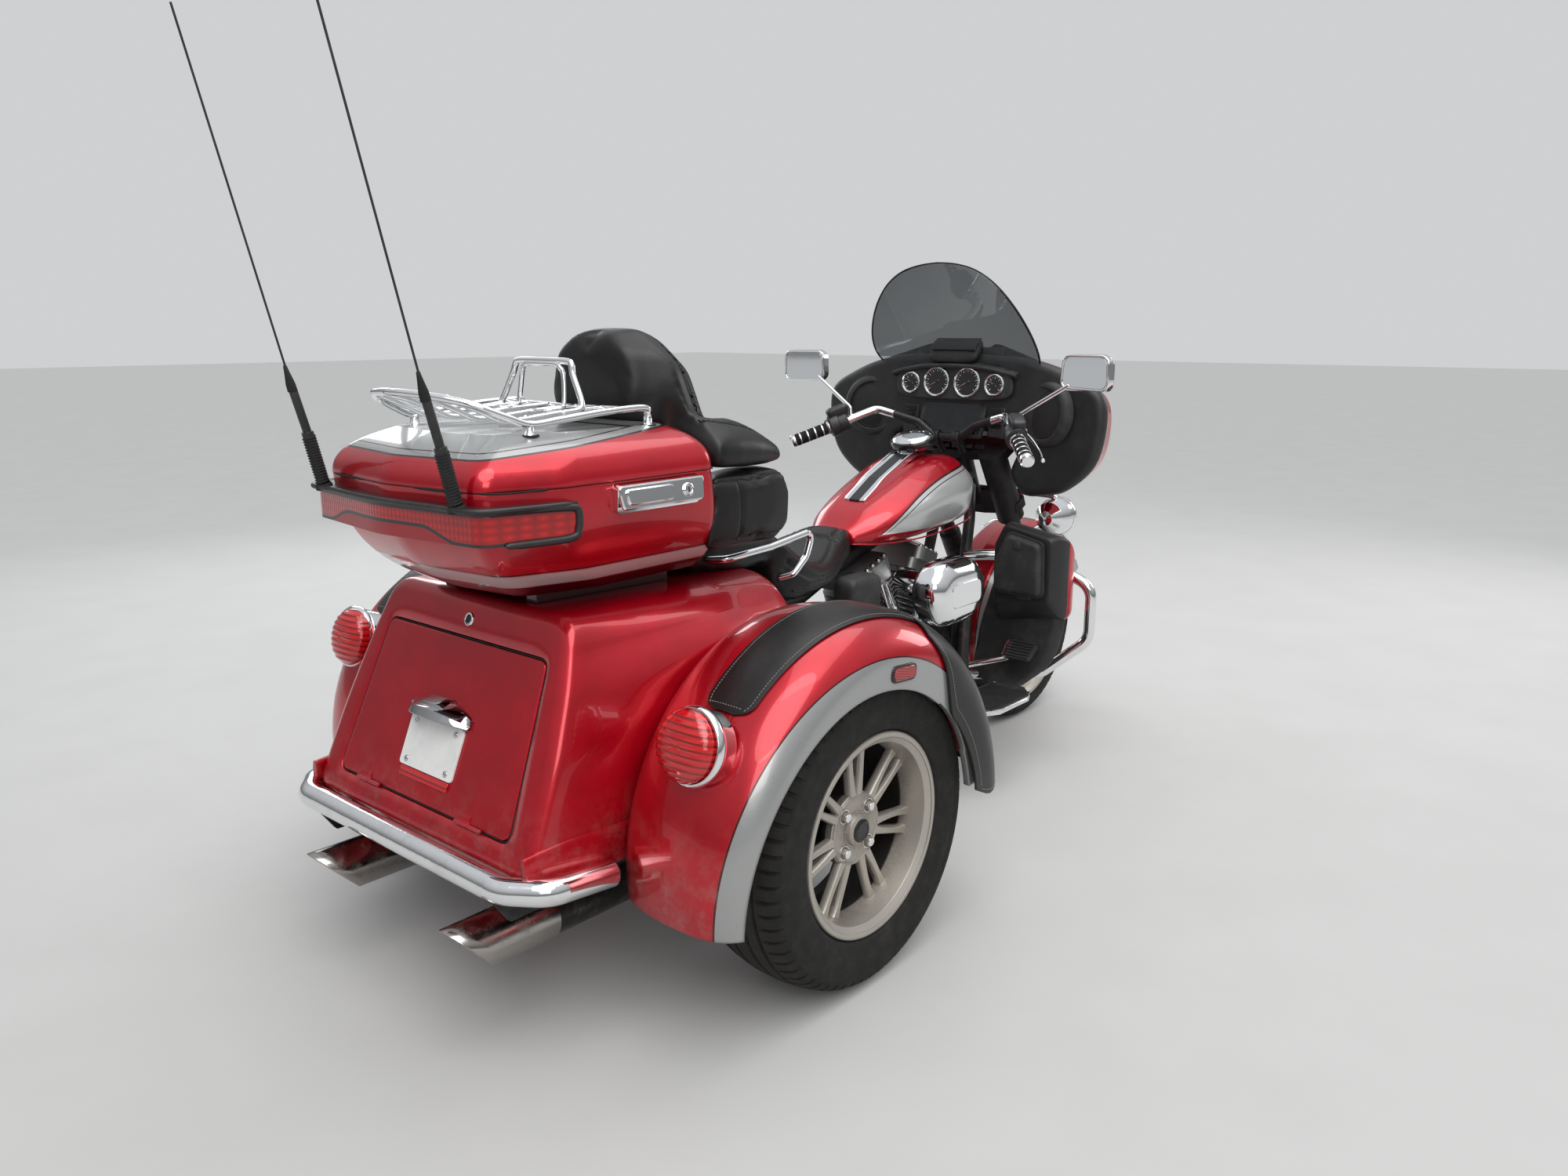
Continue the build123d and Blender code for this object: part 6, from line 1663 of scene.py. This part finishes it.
def make_body_skin():
    """The rear body: soft shoulders, a rounded face with the trunk's opening, and an open foot in front."""
    shape, inner, barrels, sill, valance = Shape(), Shape(), Shape(), Shape(), Shape()
    stack, middle = body_rings()
    shape.rings(stack, caps=False)

    def covers_rails(face):
        centre = sum((Vector(shape.verts[i]) for i in face), Vector()) / len(face)
        return -60 < centre.x / MM - REAR_AXLE_X < 150 and abs(centre.y) < 0.300 and centre.z < 0.470

    shape.faces = [face for face in shape.faces if not covers_rails(face)]
    made = shape.make("body_skin", "chassis", "paint_body", "paint", 60.0)
    outward(made, lambda c: Vector((0, c.y, c.z - 0.58)))
    thicken(made, 4.0)
    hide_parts("body_shell")
    wall = [(y * 0.985, z) for y, z in inset(middle, 5.0)]
    inner.rings([[at(d, y, z) for y, z in wall] for d in (-122, -118)])
    for start in (-210, 130):
        barrels.lathe(on_face(-start, 29.5, 3.9), LEFT, [(0, 0.2), (0, 4.2), (39.4, 4.2), (39.4, 0.2)], 16)
    inner.make("trunk_bulkhead", "chassis", "black_soft", "black_plastic")
    barrels.make("hinge_barrels", "chassis", "paint", "paint")
    for sign in SIDES:
        rings = []
        for t in (k / 12 for k in range(13)):
            d, y, z = -612 + 492 * t, 363 + 30 * t, 343 + 38 * t
            outline = rounded([(y - 3, z + 58), (y + 2, z + 36), (y + 5, z - 28), (y - 16, z - 34), (y - 16, z - 28),
                               (y - 4, z - 20), (y - 14, z + 56)], 5, 3)
            rings.append([at(d, sign * across, height) for across, height in outline])
        sill.rings(rings)
    sill.make("body_sills", "chassis", "paint", "paint", 60.0)
    # A filler between the face's foot and the bumper's stays
    valance.plate(at(-575, 0, 352), (LEFT, (0.35, 0, -0.94), (-0.94, 0, -0.35)),
                  rounded([(-330, -6), (330, -6), (312, 58), (-312, 58)], 20, 4), 4.0, 1.0)
    valance.make("rear_valance", "chassis", "paint", "paint")


# Rows of distance, heights of foot, shoulder and top, and half widths of foot, shoulder and top
TANK_STATIONS = [(690, 728, 745, 768, 62, 74, 40), (760, 724, 770, 812, 104, 118, 62),
                 (880, 726, 810, 868, 138, 152, 76), (1010, 736, 842, 918, 150, 166, 84),
                 (1120, 752, 856, 930, 150, 166, 84),
                 (1184, 768, 856, 914, 116, 128, 64), (1212, 782, 850, 894, 72, 84, 42)]


def tank_end(ring, angles, shrink, push):
    """Rings that close an end of the tank with a round."""
    centre = sum(ring, Vector()) / len(ring)
    return [[centre + (p - centre) * (1 - shrink * (1 - math.cos(a))) + Vector((push * math.sin(a) * MM, 0, 0))
             for p in ring] for a in angles]


def make_tank_skin():
    """The tank as one smooth drop, with a seam along its foot."""
    shape, seam = Shape(), Shape()
    rings = []
    for d, low, shoulder, top, half_low, half_shoulder, half_top in TANK_STATIONS:
        bulge = (half_shoulder + half_top) / 2 + 5.0
        outline = whole([(half_low, low), (half_shoulder + 2, shoulder), (bulge, (shoulder + top) / 2 + 8),
                         (half_top, top + 3)])
        rings.append([at(d, y, z) for y, z in full_ring(outline, 60.0, 6, 3)])
    places = [row[0] for row in TANK_STATIONS]
    stack = [through(rings, places, places[0] + (places[-1] - places[0]) * k / 56) for k in range(57)]
    tail, nose = tank_end(stack[0], reversed(quarters(6)), 0.97, -6.0), tank_end(stack[-1], quarters(8), 0.98, 5.0)
    shape.rings(tail + stack + nose)
    made = shape.make("tank_skin", "chassis", "paint_tank", "paint", 70.0)
    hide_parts("fuel_tank")
    foot = [(row[0], row[4] + 5.0, row[1] + 3.5) for row in TANK_STATIONS]
    for sign in SIDES:
        seam.tube(path(foot, sign, 6), 2.2, 8, ends=0.5)
    seam.make("tank_seam", "chassis", "paint", "paint")


# Half outlines of the fairing as (y, height), at three distances
FAIRING = {
    1300.0: [(190, 980), (194, 876), (236, 816), (300, 818), (372, 838), (452, 915), (478, 1030), (462, 1108),
             (385, 1155), (285, 1192), (150, 1212)],
    1415.0: [(150, 985), (166, 900), (226, 838), (285, 838), (335, 852), (405, 920), (425, 1015), (408, 1085),
             (345, 1130), (262, 1168), (140, 1190)],
    1535.0: [(40, 968), (70, 935), (105, 912), (128, 906), (150, 908), (185, 938), (196, 985), (186, 1030), (160, 1058),
             (120, 1075), (60, 1084)]}


def make_fairing_skin():
    """The painted outer fairing and the black inner one, both with smooth outlines."""
    shape, inner = Shape(), Shape()
    places = list(FAIRING)
    outlines = [smooth_ring(whole(half)) for half in FAIRING.values()]
    rings = [[at(d, y, z) for y, z in outline] for d, outline in zip(places, outlines)]
    soft = 14.0
    nose_start = places[-1] - soft
    stack = [through(rings, places, places[0] + (nose_start - places[0]) * k / 24) for k in range(25)]
    drawn = inset(outlines[-1], soft)
    for a in quarters(6):
        ring = through(rings, places, nose_start + soft * math.sin(a))
        stack.append(drawn_to(ring, drawn, outlines[-1], 1 - math.cos(a)))
    shape.rings(stack, caps=False)
    shape.faces.append(tuple(range(len(shape.verts) - len(drawn), len(shape.verts))))
    made = shape.make("fairing_skin", "steering", "paint_fairing", "paint", 50.0)
    outward(made, lambda c: Vector((0, c.y, c.z - 1.02)))
    thicken(made, 4.0)
    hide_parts("fairing")
    layers = ((1303.0, 0.5), (1296.0, -0.5), (1284.0, 2.0), (1277.0, 8.0), (1273.0, 16.0), (1272.0, 24.0))
    inner.rings([[at(d, y, z) for y, z in inset(outlines[0], draw)] for d, draw in layers])
    made = inner.make("fairing_inner", "steering", "dash_plastic", "black_plastic", 60.0)
    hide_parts("dash")


SCREEN_HALF = [(258, -14), (272, 20), (280, 60), (276, 105), (262, 150), (238, 198), (205, 243), (166, 278), (118, 302),
               (60, 314), (0, 318)]
SCREEN_BEND = 585.0


def make_screen():
    """The smoked windshield, bent about an upright cylinder."""
    shape, edge = Shape(), Shape()
    up = facing(-190.0, 0, 255.0)
    behind = Vector((-up.z, 0, up.x))
    rows = []
    for p in curve([(y, v, 0) for y, v in SCREEN_HALF], 5):
        row = []
        for y in (p.x * (2 * j / 40 - 1) for j in range(41)):
            sag = SCREEN_BEND - math.sqrt(SCREEN_BEND ** 2 - y * y)
            row.append(at(1352, y, 1214) + (up * p.y + behind * sag) * MM)
        rows.append(row)
    shape.rings(rows, close=False, caps=False)
    made = shape.make("screen", "steering", "smoke", "screen", 80.0)
    outward(made, lambda c: Vector((1, 0, 0.6)))
    thicken(made, 4.0)
    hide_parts("windshield")
    border = [row[0] for row in rows] + [row[-1] for row in reversed(rows[:-1])]
    edge.tube(border[2:-2], 2.6, 8, ends=0.6)
    edge.tube([p.lerp(q, 0.5) for p, q in zip(rows[2], rows[3])], 4.0, 8, ends=0.6)
    bolts(edge, [rows[4][j] + behind * 2 * MM for j in (8, 20, 32)], behind,
          [(-4, 0.2), (-4, 7), (-2, 9), (3, 9), (5, 7), (5, 0.2)], 20)
    edge.make("screen_trim", "steering", "gloss_black", "black_plastic", 60.0)


def make_air_cleaner():
    """A long six-sided chrome cover with a raised plain panel."""
    cover, ring = Shape(), Shape()

    def hexagon(y, half_x, half_z, radius):
        cut = half_x * 0.60
        outline = rounded([(-half_x, -half_z * 0.18), (-cut, -half_z), (cut, -half_z), (half_x, -half_z * 0.30),
                           (half_x, half_z * 0.30), (cut, half_z), (-cut, half_z), (-half_x, half_z * 0.45)], radius, 8)
        return [at(CRANK_D + x, y, 595 + z) for x, z in outline]

    cover.rings([hexagon(*layer) for layer in (
        (-205, 104, 68, 30), (-206, 122, 82, 34), (-214, 129, 87, 36), (-246, 131, 90, 38), (-262, 129, 88, 38),
        (-272, 123, 82, 36), (-282, 112, 72, 32), (-290, 100, 60, 28), (-293, 92, 53, 24), (-293.6, 60, 34, 20))])
    panel = rounded([(-72, -30), (72, -36), (72, 30), (-72, 36)], 24, 8)
    cover.plate(at(904, -292.4, 595), ((1, 0, 0.05), (-0.05, 0, 1), RIGHT), panel, 3.0, 2.0)
    cover.lathe(at(CRANK_D, -196, 598), LEFT, [(0, 0.2), (0, 40), (60, 38), (120, 34), (120, 0.2)], 40)
    made = cover.make("air_cleaner_cover", "chassis", "chrome", "chrome", 32.0)
    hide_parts("air_cleaner")
    ring.tube(hexagon(-207, 120, 80, 34), 5.0, 10, loop=True)
    ring.make("air_cleaner_gasket", "chassis", "pad_rubber", "rubber")


# Rows of height, distance, and near and far y
SHIELD_LEVELS = ((262, 1206, 128, 300), (330, 1222, 130, 368), (420, 1232, 140, 398), (500, 1236, 160, 404),
                 (560, 1240, 176, 404))


def make_shields():
    """Black leg shields below the glove boxes and side covers under the seat."""
    shape, covers = Shape(), Shape()
    places = [row[0] for row in SHIELD_LEVELS]
    side_outline = full_ring([(560, 520), (668, 508), (690, 560), (692, 668), (560, 668)], 26, 6, 4)
    for sign in SIDES:
        rings = []
        for z, d, near, far in SHIELD_LEVELS:
            back = d + (30 if z > 300 else 20)
            outline = rounded([(d, near), (back, near - 4), (back + 12, far - 6), (back - 4, far), (d, far - 16),
                               (d - 5, (near + far) / 2)], 16, 4)
            rings.append([at(x, sign * y, z) for x, y in outline])
        shape.rings([through(rings, places, 262 + 298 * k / 16) for k in range(17)])
        covers.rings([[at(d, sign * out, z) for d, z in inset(side_outline, draw)] for out, draw in
                      ((112, 0), (150, 0), (160, 1.5), (167, 5), (171, 11), (172.5, 20))])
    shape.make("leg_shields", "chassis", "black_soft", "black_plastic", 50.0)
    covers.make("side_covers", "chassis", "black_soft", "black_plastic", 60.0)


RACK_RAIL = [(-146, -196, 1104), (-147, -197, 1126), (-160, -200, 1139), (-260, -198, 1136), (-360, -194, 1127),
             (-424, -188, 1122), (-470, -178, 1138), (-520, -152, 1160), (-560, -96, 1174), (-577, -30, 1179),
             (-579, 0, 1179)]


def make_rack():
    """Round chrome bars: the outer rail dips to its rear feet and rises to the crossing, as the inner bars do."""
    rack, feet = Shape(), Shape()
    rack.tube(over(path(RACK_RAIL)), 7.0, 16)
    for y in (-124, -42, 42, 124):
        end = -573 + abs(y) * 0.10 + max(0.0, abs(y) - 90) * 0.45
        bar = [(-196, y * 0.94, 1137), (-300, y, 1133), (-400, y, 1125), (-440, y, 1127), (-478, y * 0.98, 1144),
               (-524, y * 0.95, 1163), (end, y * 0.90, 1174)]
        rack.tube(path(bar, 1, 7), 5.6, 14)
    rack.tube(path(mirrored([(-190, -198, 1138), (-196, -120, 1137), (-198, 0, 1136)])), 5.6, 14)
    for half, lean, height, back, radius in ((128, 88, 1227, -243, 6.6), (74, 58, 1221, -247, 5.2)):
        hoop = path([(-300, -half, 1133), (-262, -half, 1137), (-251, -half * 0.97, 1152), (-246, -lean - 8, 1200),
                     (back, -lean, height - 6), (back, -lean + 14, height), (back, 0, height + 1)])
        rack.tube(over(hoop), radius, 16)
    for d, y, z in ((-146, 196, 1102), (-424, 186, 1100)):
        bolts(rack, [at(d, sign * y, 1102) for sign in SIDES], UP,
              [(-8, 0.2), (-8, 12), (2, 12), (4, 9), (20, 8), (20, 0.2)], 24)
        bolts(feet, [at(d, sign * y, z) for sign in SIDES], UP, [(-3, 12), (-3, 17), (1, 18), (4, 16), (4, 12)], 28)
    made = rack.make("rack_bars", "box_lid", "chrome", "chrome", 60.0)
    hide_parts("luggage_rack")
    feet.make("rack_foot_rings", "box_lid", "pad_rubber", "rubber")


def make_lamp_bar():
    """The black frame round each end of the lamp bar, and the ledge's soft lip."""
    shape = Shape()
    end = [(-590, 276, 990), (-520, 296, 990), (-440, 315, 987), (-427, 318, 978), (-428, 318, 950), (-440, 316, 934),
           (-500, 301, 931), (-560, 285, 931)]
    for sign in SIDES:
        shape.tube(path(end, sign, 6), [7.0] * 40 + [6.0] * 3, 10, ends=0.5)
    lip = mirrored([(-440, -316, 993), (-598, -273, 993), (-618, -160, 993), (-630, 0, 993)])
    shape.tube(path(lip), 5.0, 10, ends=0.5)
    shape.make("lamp_bar_frame", "chassis", "black", "black_plastic", 60.0)


make_tyres()
make_wheel_details()
make_body_skin()
make_fenders()
make_covers()
make_flaps()
make_lamps()
make_plate()
make_backrest()
make_arm_pads()
make_seat()
make_tank_skin()
make_fairing_skin()
make_screen()
make_dash()
make_bag()
make_controls()
make_mirrors()
make_engine_details()
make_air_cleaner()
make_shields()
make_box_details()
make_lamp_bar()
make_rack()
make_console_details()
make_front_details()
make_floorboard_details()
make_glove_details()
make_rear_details()


# Floor, light and background

def make_floor():
    mesh, half = bpy.data.meshes.new("floor"), 40.0
    mesh.from_pydata([(-half, -half, 0), (half, -half, 0), (half, half, 0), (-half, half, 0)], [], [(0, 1, 2, 3)])
    floor = link("floor", mesh)
    g = Graph("floor_pale")
    tone = g.mix(g.noise(3.0), (0.43, 0.425, 0.415), (0.48, 0.475, 0.465))
    mesh.materials.append(g.done(tone, 0.85, 0.0, g.bump(g.noise(60.0), 0.05, 1.0)))


def make_world():
    """A pale background, a soft light for what is lit and a graded studio for what reflections show."""
    world = bpy.data.worlds.new("studio")
    bpy.context.scene.world = world
    world.use_nodes = True
    tree = world.node_tree
    tree.nodes.clear()

    def add(kind, *inputs, output=0, **settings):
        """A node with its first inputs set or linked."""
        node = tree.nodes.new("ShaderNode" + kind)
        for key, value in settings.items():
            setattr(node, key, value)
        for socket, value in zip(node.inputs, inputs):
            if isinstance(value, bpy.types.NodeSocket):
                tree.links.new(value, socket)
            else:
                socket.default_value = value
        return node.outputs[output]

    rays = tree.nodes.new("ShaderNodeLightPath").outputs
    height = add("SeparateXYZ", add("TexCoord", output="Generated"), output="Z")
    ramp = add("ValToRGB", height)
    stops = ramp.node.color_ramp.elements
    stops[0].position, stops[0].color = 0.0, (0.22, 0.22, 0.22, 1)
    stops[1].position, stops[1].color = 0.75, (0.66, 0.68, 0.71, 1)
    for position, shade in ((0.06, 0.17), (0.18, 0.27), (0.38, 0.46)):
        stops.new(position).color = (shade, shade * 1.01, shade * 1.03, 1)
    light = add("Background", (0.92, 0.96, 1.0, 1.0), 0.62)
    shown = add("Background", ramp, 1.0)
    backdrop = add("Background", (0.62, 0.63, 0.64, 1.0), 1.0)
    mirrored_rays = add("Math", rays["Is Glossy Ray"], rays["Is Transmission Ray"], operation="MAXIMUM")
    seen = add("MixShader", rays["Is Camera Ray"], add("MixShader", mirrored_rays, light, shown), backdrop)
    tree.links.new(seen, tree.nodes.new("ShaderNodeOutputWorld").inputs["Surface"])


def make_lamp(name, place, aim, size, watts, tint=(1, 1, 1)):
    data = bpy.data.lights.new(name, "AREA")
    data.shape = "RECTANGLE"
    data.size, data.size_y = size
    data.energy = watts
    data.color = tint
    made = link(name, data)
    made.location = place
    made.rotation_mode = "QUATERNION"
    made.rotation_quaternion = (Vector(aim) - Vector(place)).to_track_quat("-Z", "Y")


def make_sky_light():
    sun = bpy.data.lights.new("sky_light", "SUN")
    sun.energy = 1.9
    sun.angle = math.radians(50.0)
    link("sky_light", sun).rotation_euler = (math.radians(24.0), math.radians(-18.0), 0.0)


make_floor()
make_world()
make_lamp("overhead", (0.6, -0.6, 4.6), (0, 0, 0.4), (4.5, 3.0), 70.0)
make_lamp("camera_side", (-3.6, -4.2, 3.0), (0, 0, 0.6), (2.4, 1.8), 50.0, (1.0, 0.98, 0.95))
make_lamp("far_side", (1.5, 4.5, 2.6), (0, 0, 0.6), (2.6, 1.6), 45.0, (0.94, 0.97, 1.0))
make_lamp("ahead", (4.8, -1.6, 2.4), (0.4, 0, 0.7), (1.8, 1.6), 35.0)
make_sky_light()
place_camera()
scene = bpy.context.scene
scene.view_settings.view_transform = "Standard"
